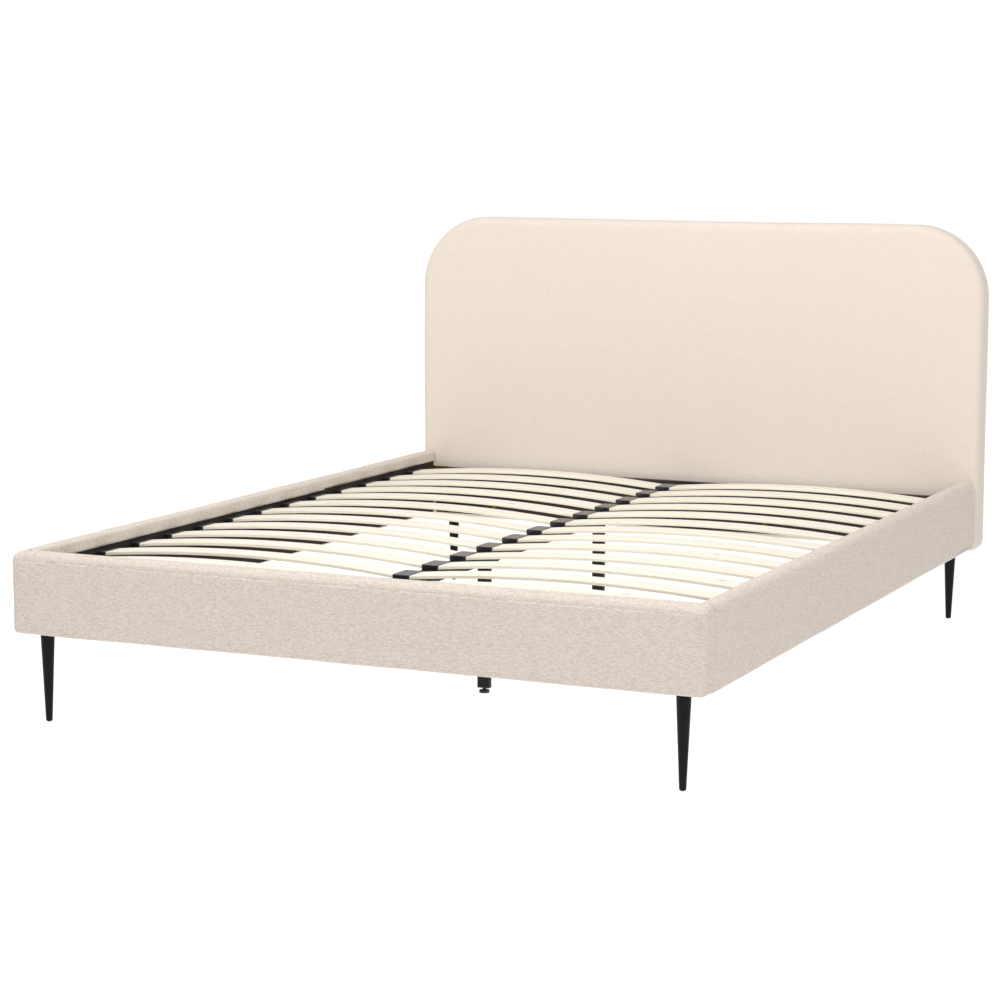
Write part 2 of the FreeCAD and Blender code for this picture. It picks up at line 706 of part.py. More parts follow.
def buildAll():
    pieces = {}
    sidePieces = {
        "side_rail_board": drilled(sideRailBoard(), allFasteners),
        "side_rail_cover": drilled(sideRailCover(), allFasteners),
    }
    for name, shape in sidePieces.items():
        pieces[name + "_right"] = shape
        pieces[name + "_left"] = mirrored(shape)
    pieces["side_rail_padding"] = bothSides(sideRailPadding())
    sideLining = drilled(sideRailLining(), allFasteners)
    footLining = drilled(footRailLining(), allFasteners)
    pieces["rail_linings"] = Part.makeCompound([sideLining, mirrored(sideLining), footLining])
    pieces["foot_rail_board"] = drilled(footRailBoard(), allFasteners)
    pieces["foot_rail_padding"] = footRailPadding()
    pieces["foot_rail_cover"] = drilled(footRailCover(), allFasteners)

    pieces["headboard_cover"] = drilled(headboardCover(), allFasteners)
    pieces["headboard_foam"] = drilled(headboardFoam(), allFasteners)
    pieces["headboard_panel"] = drilled(headboardPanel(), allFasteners)
    pieces["headboard_frame"] = drilled(headboardFrame(), allFasteners)
    pieces["headboard_back_cloth"] = headboardBackCloth()
    pieces["head_rail"] = drilled(headRail(), allFasteners)

    rightSlat = slat()
    for row, slatY in enumerate(slatYs, start=1):
        right = rightSlat.copy()
        right.translate(Vector(0, slatY, 0))
        pieces["slat_right_%02d" % row] = right
        pieces["slat_left_%02d" % row] = mirrored(right)
    sideHolders = alongSlats(sideHolder())
    pieces["side_slat_holders"] = bothSides(sideHolders)
    pieces["centre_slat_holders"] = alongSlats(centreHolder())
    pieces["slat_ledges"] = bothSides(drilled(slatLedge(), allFasteners))

    pieces["centre_beam"] = drilled(centreBeam(), allFasteners)
    hangers = [beamHanger(liningY, 1), beamHanger(headRailFace, -1)]
    pieces["beam_hangers"] = drilled(Part.makeCompound(hangers), woodScrews)
    plugs = []
    for place, legY in centreLegYs.items():
        pieces["centre_leg_" + place] = drilled(centreLeg(legY), shortBolts)
        pieces["levelling_foot_" + place] = levellingFoot(legY)
        plugs.append(legEndPlug(legY))
    pieces["leg_end_plugs"] = Part.makeCompound(plugs)

    legs = {
        "front": taperedLeg(frontLegX, frontLegY, railBottom, frontPlateDepth,
                            frontPlateInward, frontPlateRearward),
        "back": taperedLeg(backLegX, backLegY, headboardBottom, backPlateDepth, 0, 0),
    }
    for place, leg in legs.items():
        pieces["leg_" + place + "_right"] = drilled(leg, woodScrews)
        pieces["leg_" + place + "_left"] = mirrored(pieces["leg_" + place + "_right"])

    brackets = Part.makeCompound([cornerBracket(liningY, 1), cornerBracket(headRailFace, -1)])
    pieces["corner_brackets"] = bothSides(drilled(brackets, allFasteners))
    pieces["corner_blocks"] = bothSides(drilled(cornerBlock(), woodScrews))
    pieces["frame_bolts"] = Part.makeCompound([fastenerSolid(bolt) for bolt in shortBolts])
    pieces["headboard_bolts"] = Part.makeCompound([fastenerSolid(bolt) for bolt in longBolts])
    pieces["wood_screws"] = Part.makeCompound([fastenerSolid(screw) for screw in woodScrews])
    return pieces


os.makedirs("parts", exist_ok=True)
for nodeName, nodeShape in sorted(buildAll().items()):
    result = solidOnly(nodeShape)
    if not result.isValid():
        raise ValueError("not a valid shape: " + nodeName)
    result.exportStep("parts/" + nodeName + ".step")
    print(nodeName, len(result.Solids), round(result.Volume / 1000, 1), "cm3")
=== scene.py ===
import math
import bmesh
import bpy
import numpy as np
from mathutils import Matrix, Vector, noise


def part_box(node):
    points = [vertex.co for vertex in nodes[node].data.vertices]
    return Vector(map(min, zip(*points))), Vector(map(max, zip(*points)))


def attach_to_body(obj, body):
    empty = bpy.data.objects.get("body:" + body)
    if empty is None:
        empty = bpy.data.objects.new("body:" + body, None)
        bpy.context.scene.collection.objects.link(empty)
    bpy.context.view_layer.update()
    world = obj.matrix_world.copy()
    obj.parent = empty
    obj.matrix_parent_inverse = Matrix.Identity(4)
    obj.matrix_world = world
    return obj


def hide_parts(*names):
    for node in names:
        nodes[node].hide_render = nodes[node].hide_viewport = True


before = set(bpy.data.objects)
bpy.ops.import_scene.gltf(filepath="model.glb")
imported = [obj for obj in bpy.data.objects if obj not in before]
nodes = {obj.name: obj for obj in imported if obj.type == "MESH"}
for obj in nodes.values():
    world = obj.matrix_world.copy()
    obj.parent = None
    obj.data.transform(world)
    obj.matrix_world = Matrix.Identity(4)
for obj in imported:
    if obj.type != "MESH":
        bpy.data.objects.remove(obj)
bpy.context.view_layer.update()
print("bed frame loaded,", len(nodes), "parts")

# Lengths are in metres, colours are 0 to 255 as on a paint chart


def shade(red, green, blue):
    levels = [value / 255 for value in (red, green, blue)]
    linear = [((v + 0.055) / 1.055) ** 2.4 if v > 0.04 else v / 12.92 for v in levels]
    return (*linear, 1.0)


# Camera, light and floor
cameraSetup = {
    "place": (2.578, -6.0155, 1.324),
    "turnLeft": 24.177,
    "lookDown": 7.893,
    "roll": 0.18,
    "lens": 95.84,
    "sensor": 36.0,
}
lightSetup = {
    "backdrop": 1.0,
    "sky": 0.66,
    "overBed": {"place": (0.1, -1.4, 3.4), "aim": (0.0, 0.45, 0.3), "size": (3.0, 2.2), "power": 85.0},
    "sideFill": {"place": (3.4, -4.0, 1.4), "aim": (0.8, -1.4, 0.3), "size": (1.8, 1.8), "power": 19.5},
}
floorSetup = {"size": 60.0, "glow": 0.86, "paint": (140, 140, 140)}


def makeCamera():
    yaw, pitch, roll = (math.radians(cameraSetup[key]) for key in ("turnLeft", "lookDown", "roll"))
    forward = Vector((-math.sin(yaw) * math.cos(pitch), math.cos(yaw) * math.cos(pitch), -math.sin(pitch)))
    level = Vector((math.cos(yaw), math.sin(yaw), 0))
    upright = level.cross(forward)
    right = math.cos(roll) * level + math.sin(roll) * upright
    up = -math.sin(roll) * level + math.cos(roll) * upright
    lens = bpy.data.cameras.new("camera")
    lens.lens = cameraSetup["lens"]
    lens.sensor_width = cameraSetup["sensor"]
    camera = bpy.data.objects.new("camera", lens)
    bpy.context.scene.collection.objects.link(camera)
    turn = Matrix((right, up, -forward)).transposed()
    camera.matrix_world = Matrix.Translation(cameraSetup["place"]) @ turn.to_4x4()
    bpy.context.scene.camera = camera


def makeSoftbox(name, spec):
    lamp = bpy.data.lights.new(name, "AREA")
    lamp.shape = "RECTANGLE"
    lamp.size, lamp.size_y = spec["size"]
    lamp.energy = spec["power"]
    box = bpy.data.objects.new(name, lamp)
    box.location = spec["place"]
    aim = Vector(spec["aim"]) - Vector(spec["place"])
    box.rotation_euler = aim.to_track_quat("-Z", "Y").to_euler()
    bpy.context.scene.collection.objects.link(box)


def makeStudio():
    world = bpy.data.worlds.new("studio")
    world.use_nodes = True
    # The backdrop is white to look at, and lights the bed less than it shows
    tree = world.node_tree
    sky = tree.nodes["Background"]
    sky.inputs["Color"].default_value = (1, 1, 1, 1)
    straight = put(tree, "LightPath").outputs["Is Camera Ray"]
    tree.links.new(levels(tree, straight, lightSetup["sky"], lightSetup["backdrop"]), sky.inputs["Strength"])
    bpy.context.scene.world = world
    makeSoftbox("soft_box_over_bed", lightSetup["overBed"])
    makeSoftbox("soft_box_side", lightSetup["sideFill"])
    bpy.context.scene.view_settings.view_transform = "Standard"

    half = floorSetup["size"] / 2
    mesh = bpy.data.meshes.new("floor")
    corners = [(-half, -half, 0), (half, -half, 0), (half, half, 0), (-half, half, 0)]
    mesh.from_pydata(corners, [], [(0, 1, 2, 3)])
    floor = bpy.data.objects.new("floor", mesh)
    bpy.context.scene.collection.objects.link(floor)
    paint, tree, shader = startFinish("floor_paint", {
        "Roughness": 0.9, "Emission Strength": floorSetup["glow"],
    })
    shader.inputs["Base Color"].default_value = shade(*floorSetup["paint"])
    shader.inputs["Emission Color"].default_value = (1, 1, 1, 1)
    mesh.materials.append(paint)


# Small helpers for building finishes out of shader nodes
def startFinish(name, sockets):
    finish = bpy.data.materials.new(name)
    finish.use_nodes = True
    shader = finish.node_tree.nodes["Principled BSDF"]
    for socket, value in sockets.items():
        shader.inputs[socket].default_value = value
    return finish, finish.node_tree, shader


def put(tree, kind, inputs=None, **settings):
    node = tree.nodes.new("ShaderNode" + kind)
    for key, value in settings.items():
        setattr(node, key, value)
    for socket, value in (inputs or {}).items():
        if isinstance(value, bpy.types.NodeSocket):
            tree.links.new(value, node.inputs[socket])
        else:
            node.inputs[socket].default_value = value
    return node


def calc(tree, operation, first, second=0.0, third=0.0):
    return put(tree, "Math", {0: first, 1: second, 2: third}, operation=operation).outputs[0]


def ramp(tree, factor, *stops):
    node = put(tree, "ValToRGB", {"Fac": factor})
    elements = node.color_ramp.elements
    elements[0].position, elements[0].color = stops[0]
    elements[1].position, elements[1].color = stops[-1]
    for place, tint in stops[1:-1]:
        elements.new(place).color = tint
    return node.outputs["Color"]


def levels(tree, factor, low, high):
    node = put(tree, "MapRange", {"Value": factor, "To Min": low, "To Max": high})
    return node.outputs["Result"]


def window(tree, factor, start, end):
    node = put(tree, "MapRange", {"Value": factor, "From Min": start, "From Max": end})
    return node.outputs["Result"]


def mixed(tree, factor, first, second, way="MIX"):
    node = put(tree, "Mix", {0: factor, 6: first, 7: second}, data_type="RGBA", blend_type=way)
    return node.outputs[2]


def grey(tree, value):
    return put(tree, "CombineColor", {0: value, 1: value, 2: value}).outputs[0]


def spot(tree, scale):
    # The place on the piece, scaled so that one unit is one feature
    place = put(tree, "TexCoord").outputs["Object"]
    return put(tree, "Mapping", {"Vector": place, "Scale": scale}).outputs["Vector"]


def clouds(tree, vector, detail=2.0, roughness=0.5):
    inputs = {"Vector": vector, "Scale": 1.0, "Detail": detail, "Roughness": roughness}
    return put(tree, "TexNoise", inputs).outputs["Fac"]


def cells(tree, vector, feature="F1", **more):
    inputs = {"Vector": vector, "Scale": 1.0, **more}
    return put(tree, "TexVoronoi", inputs, feature=feature)


def wander(tree, vector, reach):
    # Pushes places about, so that cells lose their even spacing
    drift = put(tree, "TexNoise", {"Vector": vector, "Scale": 0.7, "Detail": 2.0}).outputs["Color"]
    centred = put(tree, "VectorMath", {0: drift, 1: (0.5, 0.5, 0.5)}, operation="SUBTRACT").outputs[0]
    scaled = put(tree, "VectorMath", {0: centred, "Scale": reach}, operation="SCALE").outputs[0]
    return put(tree, "VectorMath", {0: vector, 1: scaled}, operation="ADD").outputs[0]


def raised(tree, shader, height, depth, strength=1.0):
    bump = put(tree, "Bump", {"Height": height, "Distance": depth, "Strength": strength})
    tree.links.new(bump.outputs["Normal"], shader.inputs["Normal"])


def across(size, ratio=1.0):
    # Features of one size, longer by ratio along the floor than upright
    return (1 / (size * ratio), 1 / (size * ratio), 1 / size)


# Boucle: looped nubs, with a painted highlight on their tops and painted shade where they meet
boucleLook = {
    "rail": {
        "litTip": (226, 215, 206), "shadedRoot": (205, 192, 181), "nub": 0.0026, "nubStretch": 3.0,
        "curl": 0.0015, "depth": 0.0019, "streak": 0.012, "patch": 0.012,
    },
    "headboard": {
        "litTip": (222, 210, 199), "shadedRoot": (216, 203, 191), "nub": 0.0026, "nubStretch": 2.4,
        "curl": 0.0012, "depth": 0.0004, "streak": 0.022, "patch": 0.008,
    },
}


# What both fabrics share: how the nubs and curls wander and add up, and where the painted shade turns to the
# painted highlight
boucleWeave = {
    "sheenTint": (245, 236, 226), "nubWander": 1.1, "nubSoftness": 0.45, "nubShare": 0.6, "curlStretch": 1.4,
    "curlWander": 1.6, "curlShare": 0.55, "shadedRootLevel": 0.42, "litTipLevel": 0.78, "patchSize": 0.16,
    "streakSize": 0.004, "streakStretch": 14.0,
}


def boucleFinish(name, look):
    finish, tree, shader = startFinish(name, {
        "Sheen Weight": 0.25, "Sheen Roughness": 0.45, "Specular IOR Level": 0.15, "Roughness": 0.95,
    })
    shader.inputs["Sheen Tint"].default_value = shade(*boucleWeave["sheenTint"])
    nubPlace = wander(tree, spot(tree, across(look["nub"], look["nubStretch"])), boucleWeave["nubWander"])
    nub = cells(tree, nubPlace, "SMOOTH_F1", Smoothness=boucleWeave["nubSoftness"]).outputs["Distance"]
    dome = calc(tree, "MULTIPLY", calc(tree, "SUBTRACT", 1.0, nub), boucleWeave["nubShare"])
    curlPlace = spot(tree, across(look["curl"], boucleWeave["curlStretch"]))
    curl = clouds(tree, wander(tree, curlPlace, boucleWeave["curlWander"]), 3.0, 0.6)
    height = calc(tree, "MULTIPLY_ADD", curl, boucleWeave["curlShare"], dome)
    # Painted shade in the hollows between the nubs, and a painted highlight on their tops
    cloth = ramp(tree, height, (boucleWeave["shadedRootLevel"], shade(*look["shadedRoot"])),
                 (boucleWeave["litTipLevel"], shade(*look["litTip"])))
    patch = clouds(tree, spot(tree, across(boucleWeave["patchSize"])), 3.0)
    streak = clouds(tree, spot(tree, across(boucleWeave["streakSize"], boucleWeave["streakStretch"])), 2.0)
    light = calc(tree, "MULTIPLY_ADD", patch, 2 * look["patch"], 1 - look["patch"])
    light = calc(tree, "MULTIPLY_ADD", calc(tree, "SUBTRACT", streak, 0.5), look["streak"] * 2, light)
    cloth = mixed(tree, 1.0, cloth, grey(tree, light), "MULTIPLY")
    tree.links.new(cloth, shader.inputs["Base Color"])
    tree.links.new(levels(tree, height, 1.0, 0.82), shader.inputs["Roughness"])
    raised(tree, shader, height, look["depth"])
    return finish


# Wood: long grain along one direction, with the odd small knot
woodLook = {
    "slat": {
        "face": (238, 233, 221), "grain": (232, 225, 209), "knot": (176, 134, 106),
        "edge": (241, 233, 214), "edgeLine": (228, 217, 194),
        "along": "x", "ply": 0.0013, "knotShare": 0.055, "rough": (0.38, 0.55),
    },
    "pine": {
        "face": (222, 196, 152), "grain": (188, 146, 96), "knot": (120, 74, 42),
        "edge": (214, 186, 142), "edgeLine": (176, 136, 92),
        "along": "x", "ply": 0.004, "knotShare": 0.05, "rough": (0.55, 0.75),
    },
    "ledge": {
        "face": (34, 25, 18), "grain": (24, 17, 12), "knot": (18, 15, 13),
        "edge": (31, 23, 17), "edgeLine": (21, 16, 12),
        "along": "y", "ply": 0.004, "knotShare": 0.05, "rough": (0.5, 0.7),
    },
    "blackBoard": {
        "face": (32, 24, 18), "grain": (23, 17, 13), "knot": (20, 19, 18),
        "edge": (34, 26, 20), "edgeLine": (24, 18, 14),
        "along": "x", "ply": 0.003, "knotShare": 0.0, "rough": (0.4, 0.6),
    },
}


# Scales are in features to a metre; the grain is drawn out along the board
woodGrain = {
    "stretch": {"x": (1.0, 26.0, 26.0), "y": (26.0, 1.0, 26.0)}, "fibre": 8, "bands": 1.6,
    "fibreShare": 0.45, "bandShare": 0.55, "darkLevel": 0.38, "lightLevel": 0.62, "relief": 0.00035,
    "layerSpread": 6.0, "lineLevel": 0.4, "layerLevel": 0.56, "faceFrom": 0.35, "faceTo": 0.75,
    "knotCells": {"x": (9.0, 17.0, 17.0), "y": (17.0, 9.0, 17.0)},
    "knotRim": (0.12, 0.04), "knotStrength": 0.55,
    "toneCells": (2.0, 4.0, 2.0), "tone": (0.96, 1.03),
}


def woodFinish(name, look):
    finish, tree, shader = startFinish(name, {
        "Specular IOR Level": 0.35, "Coat Weight": 0.12, "Coat Roughness": 0.35,
    })
    longways = woodGrain["stretch"][look["along"]]
    fibrePlace = spot(tree, tuple(woodGrain["fibre"] * v for v in longways))
    fibre = clouds(tree, wander(tree, fibrePlace, 0.5), 4.0, 0.6)
    bandPlace = spot(tree, tuple(woodGrain["bands"] * v for v in longways))
    bands = clouds(tree, wander(tree, bandPlace, 1.2), 2.0)
    broad = calc(tree, "MULTIPLY", bands, woodGrain["bandShare"])
    grain = calc(tree, "MULTIPLY_ADD", fibre, woodGrain["fibreShare"], broad)
    face = ramp(tree, grain, (woodGrain["darkLevel"], shade(*look["grain"])),
                (woodGrain["lightLevel"], shade(*look["face"])))

    # Edges show the layers of veneer, or the end of the boards
    spread = woodGrain["layerSpread"]
    layers = clouds(tree, spot(tree, (spread, spread, 1 / look["ply"])), 1.0)
    edge = ramp(tree, layers, (woodGrain["lineLevel"], shade(*look["edgeLine"])),
                (woodGrain["layerLevel"], shade(*look["edge"])))
    normal = put(tree, "NewGeometry").outputs["Normal"]
    upward = calc(tree, "ABSOLUTE", put(tree, "SeparateXYZ", {0: normal}).outputs["Z"])
    wood = mixed(tree, window(tree, upward, woodGrain["faceFrom"], woodGrain["faceTo"]), edge, face)

    # A knot sits in a few of the cells only
    knotPlace = wander(tree, spot(tree, woodGrain["knotCells"][look["along"]]), 0.25)
    knot = cells(tree, knotPlace, "F1")
    chance = put(tree, "SeparateColor", {0: knot.outputs["Color"]}).outputs[0]
    chosen = calc(tree, "LESS_THAN", chance, look["knotShare"] * 4)
    closeness = window(tree, knot.outputs["Distance"], *woodGrain["knotRim"])
    knotHere = calc(tree, "MULTIPLY", calc(tree, "MULTIPLY", closeness, chosen), woodGrain["knotStrength"])
    wood = mixed(tree, knotHere, wood, shade(*look["knot"]))
    tone = clouds(tree, spot(tree, woodGrain["toneCells"]), 2.0)
    wood = mixed(tree, 1.0, wood, grey(tree, levels(tree, tone, *woodGrain["tone"])), "MULTIPLY")
    tree.links.new(wood, shader.inputs["Base Color"])
    tree.links.new(levels(tree, grain, look["rough"][1], look["rough"][0]), shader.inputs["Roughness"])
    raised(tree, shader, grain, woodGrain["relief"])
    return finish


# Powder coat on the legs and the beam, with a light orange peel
paintLook = {
    "legs": {"deep": (5, 5, 4), "thin": (12, 11, 9), "peel": 0.0011, "rough": (0.42, 0.56)},
    "beam": {"deep": (14, 10, 7), "thin": (26, 19, 13), "peel": 0.0014, "rough": (0.46, 0.62)},
}


powderCoat = {
    "dustSize": 0.05, "rubbedTint": (96, 94, 90), "rubbedFrom": 0.55, "rubbedTo": 0.68, "rubbedShare": 0.25,
    "relief": 0.00012,
}


def powderFinish(name, look):
    finish, tree, shader = startFinish(name, {
        "Specular IOR Level": 0.16, "Coat Weight": 0.04, "Coat Roughness": 0.3,
    })
    peel = clouds(tree, spot(tree, across(look["peel"])), 3.0, 0.6)
    dust = clouds(tree, spot(tree, across(powderCoat["dustSize"])), 4.0, 0.6)
    coat = ramp(tree, dust, (0.35, shade(*look["deep"])), (0.7, shade(*look["thin"])))
    coat = mixed(tree, 1.0, coat, grey(tree, levels(tree, peel, 0.9, 1.1)), "MULTIPLY")
    # Paint is thinner and rubbed along sharp edges
    edge = put(tree, "NewGeometry").outputs["Pointiness"]
    rubbed = window(tree, edge, powderCoat["rubbedFrom"], powderCoat["rubbedTo"])
    rubbed = calc(tree, "MULTIPLY", rubbed, powderCoat["rubbedShare"])
    coat = mixed(tree, rubbed, coat, shade(*powderCoat["rubbedTint"]))
    tree.links.new(coat, shader.inputs["Base Color"])
    tree.links.new(levels(tree, dust, *look["rough"]), shader.inputs["Roughness"])
    raised(tree, shader, peel, powderCoat["relief"])
    return finish


# Moulded plastic with a fine spark-eroded grain
plasticLook = {
    "holder": {"low": (25, 26, 30), "high": (41, 42, 47), "grain": 0.0006, "rough": (0.2, 0.32)},
    "plug": {"low": (20, 20, 21), "high": (34, 34, 35), "grain": 0.0007, "rough": (0.4, 0.6)},
    "foot": {"low": (18, 18, 19), "high": (32, 31, 31), "grain": 0.0008, "rough": (0.42, 0.62)},
}


def plasticFinish(name, look):
    finish, tree, shader = startFinish(name, {"Specular IOR Level": 0.6, "Coat Weight": 0.1})
    grain = clouds(tree, spot(tree, across(look["grain"])), 2.0, 0.7)
    flow = clouds(tree, wander(tree, spot(tree, across(0.02, 2.0)), 1.5), 3.0)
    body = ramp(tree, flow, (0.3, shade(*look["low"])), (0.75, shade(*look["high"])))
    body = mixed(tree, 1.0, body, grey(tree, levels(tree, grain, 0.92, 1.08)), "MULTIPLY")
    tree.links.new(body, shader.inputs["Base Color"])
    wear = calc(tree, "ADD", calc(tree, "MULTIPLY", grain, 0.5), calc(tree, "MULTIPLY", flow, 0.5))
    tree.links.new(levels(tree, wear, *look["rough"]), shader.inputs["Roughness"])
    raised(tree, shader, grain, 0.00008)
    return finish


# Yellow zinc: brushed steel under a thin gold to rose passivation
zincLook = {
    "gold": {
        "main": (128, 104, 50), "warm": (122, 88, 54), "cool": (104, 102, 60), "rough": (0.3, 0.5),
    },
    "steel": {
        "main": (168, 168, 166), "warm": (156, 154, 150), "cool": (150, 152, 156), "rough": (0.28, 0.46),
    },
}


def zincFinish(name, look):
    finish, tree, shader = startFinish(name, {"Metallic": 1.0})
    hue = clouds(tree, wander(tree, spot(tree, across(0.03)), 2.0), 3.0)
    warm, main, cool = (shade(*look[key]) for key in ("warm", "main", "cool"))
    film = ramp(tree, hue, (0.3, warm), (0.5, main), (0.72, cool))
    brushing = clouds(tree, spot(tree, (900.0, 60.0, 900.0)), 2.0)
    film = mixed(tree, 1.0, film, grey(tree, levels(tree, brushing, 0.82, 1.05)), "MULTIPLY")
    tree.links.new(film, shader.inputs["Base Color"])
    tree.links.new(levels(tree, brushing, *look["rough"]), shader.inputs["Roughness"])
    raised(tree, shader, brushing, 0.00005)
    return finish


# Non-woven cloth: pressed fibres with a grid of small bond points
liningLook = {"fibre": (35, 28, 23), "bond": (16, 13, 11), "bondPitch": 0.0017, "fibreSize": 0.0007}


def liningFinish(name, look):
    finish, tree, shader = startFinish(name, {"Specular IOR Level": 0.2, "Sheen Weight": 0.04})
    fibre = clouds(tree, wander(tree, spot(tree, across(look["fibreSize"], 3.0)), 2.0), 3.0, 0.65)
    bond = cells(tree, spot(tree, across(look["bondPitch"])), "F1", Randomness=0.0).outputs["Distance"]
    flat = window(tree, bond, 0.24, 0.4)
    height = calc(tree, "MULTIPLY", flat, calc(tree, "MULTIPLY_ADD", fibre, 0.6, 0.4))
    cloth = ramp(tree, height, (0.1, shade(*look["bond"])), (0.75, shade(*look["fibre"])))
    patch = clouds(tree, spot(tree, across(0.03)), 3.0)
    cloth = mixed(tree, 1.0, cloth, grey(tree, levels(tree, patch, 0.85, 1.1)), "MULTIPLY")
    tree.links.new(cloth, shader.inputs["Base Color"])
    tree.links.new(levels(tree, height, 0.6, 0.9), shader.inputs["Roughness"])
    raised(tree, shader, height, 0.0003)
    return finish


# Fluffy wadding and open-cell foam, both under the covers, with painted shade in their hollows and pores
fillingLook = {
    "wadding": {
        "high": (244, 243, 240), "low": (214, 213, 209), "size": 0.004, "ratio": 3.0, "depth": 0.0018,
    },
    "foam": {
        "high": (238, 226, 178), "low": (202, 186, 132), "size": 0.0012, "ratio": 1.0, "depth": 0.0005,
    },
}


def fillingFinish(name, look):
    finish, tree, shader = startFinish(name, {"Specular IOR Level": 0.1, "Sheen Weight": 0.2})
    strand = clouds(tree, wander(tree, spot(tree, across(look["size"], look["ratio"])), 1.5), 4.0, 0.7)
    pore = cells(tree, spot(tree, across(look["size"] * 0.8)), "F1").outputs["Distance"]
    height = calc(tree, "MULTIPLY_ADD", pore, 0.35, calc(tree, "MULTIPLY", strand, 0.65))
    # Painted shade: the pores and low fibres are darker than the high ones
    filling = ramp(tree, height, (0.3, shade(*look["low"])), (0.65, shade(*look["high"])))
    tree.links.new(filling, shader.inputs["Base Color"])
    tree.links.new(levels(tree, height, 0.98, 0.8), shader.inputs["Roughness"])
    raised(tree, shader, height, look["depth"])
    return finish


def makeFinishes():
    return {
        "rail_fabric": boucleFinish("rail_boucle", boucleLook["rail"]),
        "headboard_fabric": boucleFinish("headboard_boucle", boucleLook["headboard"]),
        "slat_wood": woodFinish("birch_veneer", woodLook["slat"]),
        "frame_wood": woodFinish("sawn_pine", woodLook["pine"]),
        "ledge_wood": woodFinish("ledge_pine", woodLook["ledge"]),
        "black_board": woodFinish("black_stained_board", woodLook["blackBoard"]),
        "black_metal": powderFinish("black_powder_coat", paintLook["legs"]),
        "beam_metal": powderFinish("beam_powder_coat", paintLook["beam"]),
        "holder_plastic": plasticFinish("holder_plastic_grained", plasticLook["holder"]),
        "plug_plastic": plasticFinish("plug_plastic_grained", plasticLook["plug"]),
        "foot_plastic": plasticFinish("foot_plastic_grained", plasticLook["foot"]),
        "gold_zinc": zincFinish("yellow_zinc", zincLook["gold"]),
        "staple_steel": zincFinish("staple_steel", zincLook["steel"]),
        "black_lining": liningFinish("black_non_woven", liningLook),
        "wadding": fillingFinish("white_wadding", fillingLook["wadding"]),
        "foam": fillingFinish("yellow_foam", fillingLook["foam"]),
    }


def finishCadParts():
    for part in nodes.values():
        for slot in part.material_slots:
            slot.material = finishes[slot.material.name]


# Soft pieces start as a slab with a rounded rim, made of square cells
def addPiece(name, mesh, finishName, smooth=True):
    piece = bpy.data.objects.new(name, mesh)
    bpy.context.scene.collection.objects.link(piece)
    mesh.materials.append(finishes[finishName])
    if smooth:
        mesh.polygons.foreach_set("use_smooth", [True] * len(mesh.polygons))
    return piece


def roundedOutline(width, height, radii, cell):
    # Four runs of points, each from the middle of one corner to the middle of the next,
    # anticlockwise from the lower left. Each point is (across, up, direction outwards).
    halfWidth, halfHeight = width / 2, height / 2
    signs = [(-1, -1), (1, -1), (1, 1), (-1, 1)]
    centres = [np.array((sx * (halfWidth - r), sy * (halfHeight - r))) for (sx, sy), r in zip(signs, radii)]
    arcPoints = 25
    dense = []
    for side in range(4):
        start = math.radians(225 + 90 * side)
        turns = [start + np.linspace(0, math.pi / 4, arcPoints),
                 start + np.linspace(math.pi / 4, math.pi / 2, arcPoints)]
        points, angles, weights = [], [], []
        for end, corner in enumerate((side, (side + 1) % 4)):
            rim = np.column_stack((np.cos(turns[end]), np.sin(turns[end])))
            points.append(centres[corner] + radii[corner] * rim)
            angles.append(turns[end])
            arc = radii[corner] * math.pi / 4
            weights.append(np.full(arcPoints - 1, max(arc / cell, 3.0) / (arcPoints - 1)))
        straight = np.linalg.norm(points[1][0] - points[0][-1]) / cell
        weight = np.concatenate((weights[0], [straight], weights[1]))
        dense.append((np.vstack(points), np.concatenate(angles), np.concatenate(([0], np.cumsum(weight)))))
    runs = []
    for side in range(4):
        count = round(max(dense[side][2][-1], dense[(side + 2) % 4][2][-1]))
        points, angles, weight = dense[side]
        at = np.linspace(0, weight[-1], count + 1)
        runs.append(np.column_stack((np.interp(at, weight, points[:, 0]), np.interp(at, weight, points[:, 1]),
                                     np.interp(at, weight, angles))))
    return runs


def patch(bottom, right, top, left):
    # Fills four edges with a smooth grid; top and left run backwards, as the outline does
    top, left = top[::-1], left[::-1]
    u = np.linspace(0, 1, len(bottom))[None, :, None]
    v = np.linspace(0, 1, len(left))[:, None, None]
    ruled = (1 - v) * bottom[None] + v * top[None] + (1 - u) * left[:, None] + u * right[:, None]
    corners = ((1 - u) * (1 - v) * bottom[0] + u * (1 - v) * bottom[-1]
               + (1 - u) * v * top[0] + u * v * top[-1])
    return ruled - corners


def tidyNormals(mesh):
    shell = bmesh.new()
    shell.from_mesh(mesh)
    bmesh.ops.recalc_face_normals(shell, faces=shell.faces)
    shell.to_mesh(mesh)
    shell.free()


def gridQuads(number):
    # The four corners of every cell, from the points' numbers in rows
    quads = np.stack((number[:-1, :-1], number[:-1, 1:], number[1:, 1:], number[1:, :-1]), axis=-1)
    return quads.reshape(-1, 4)


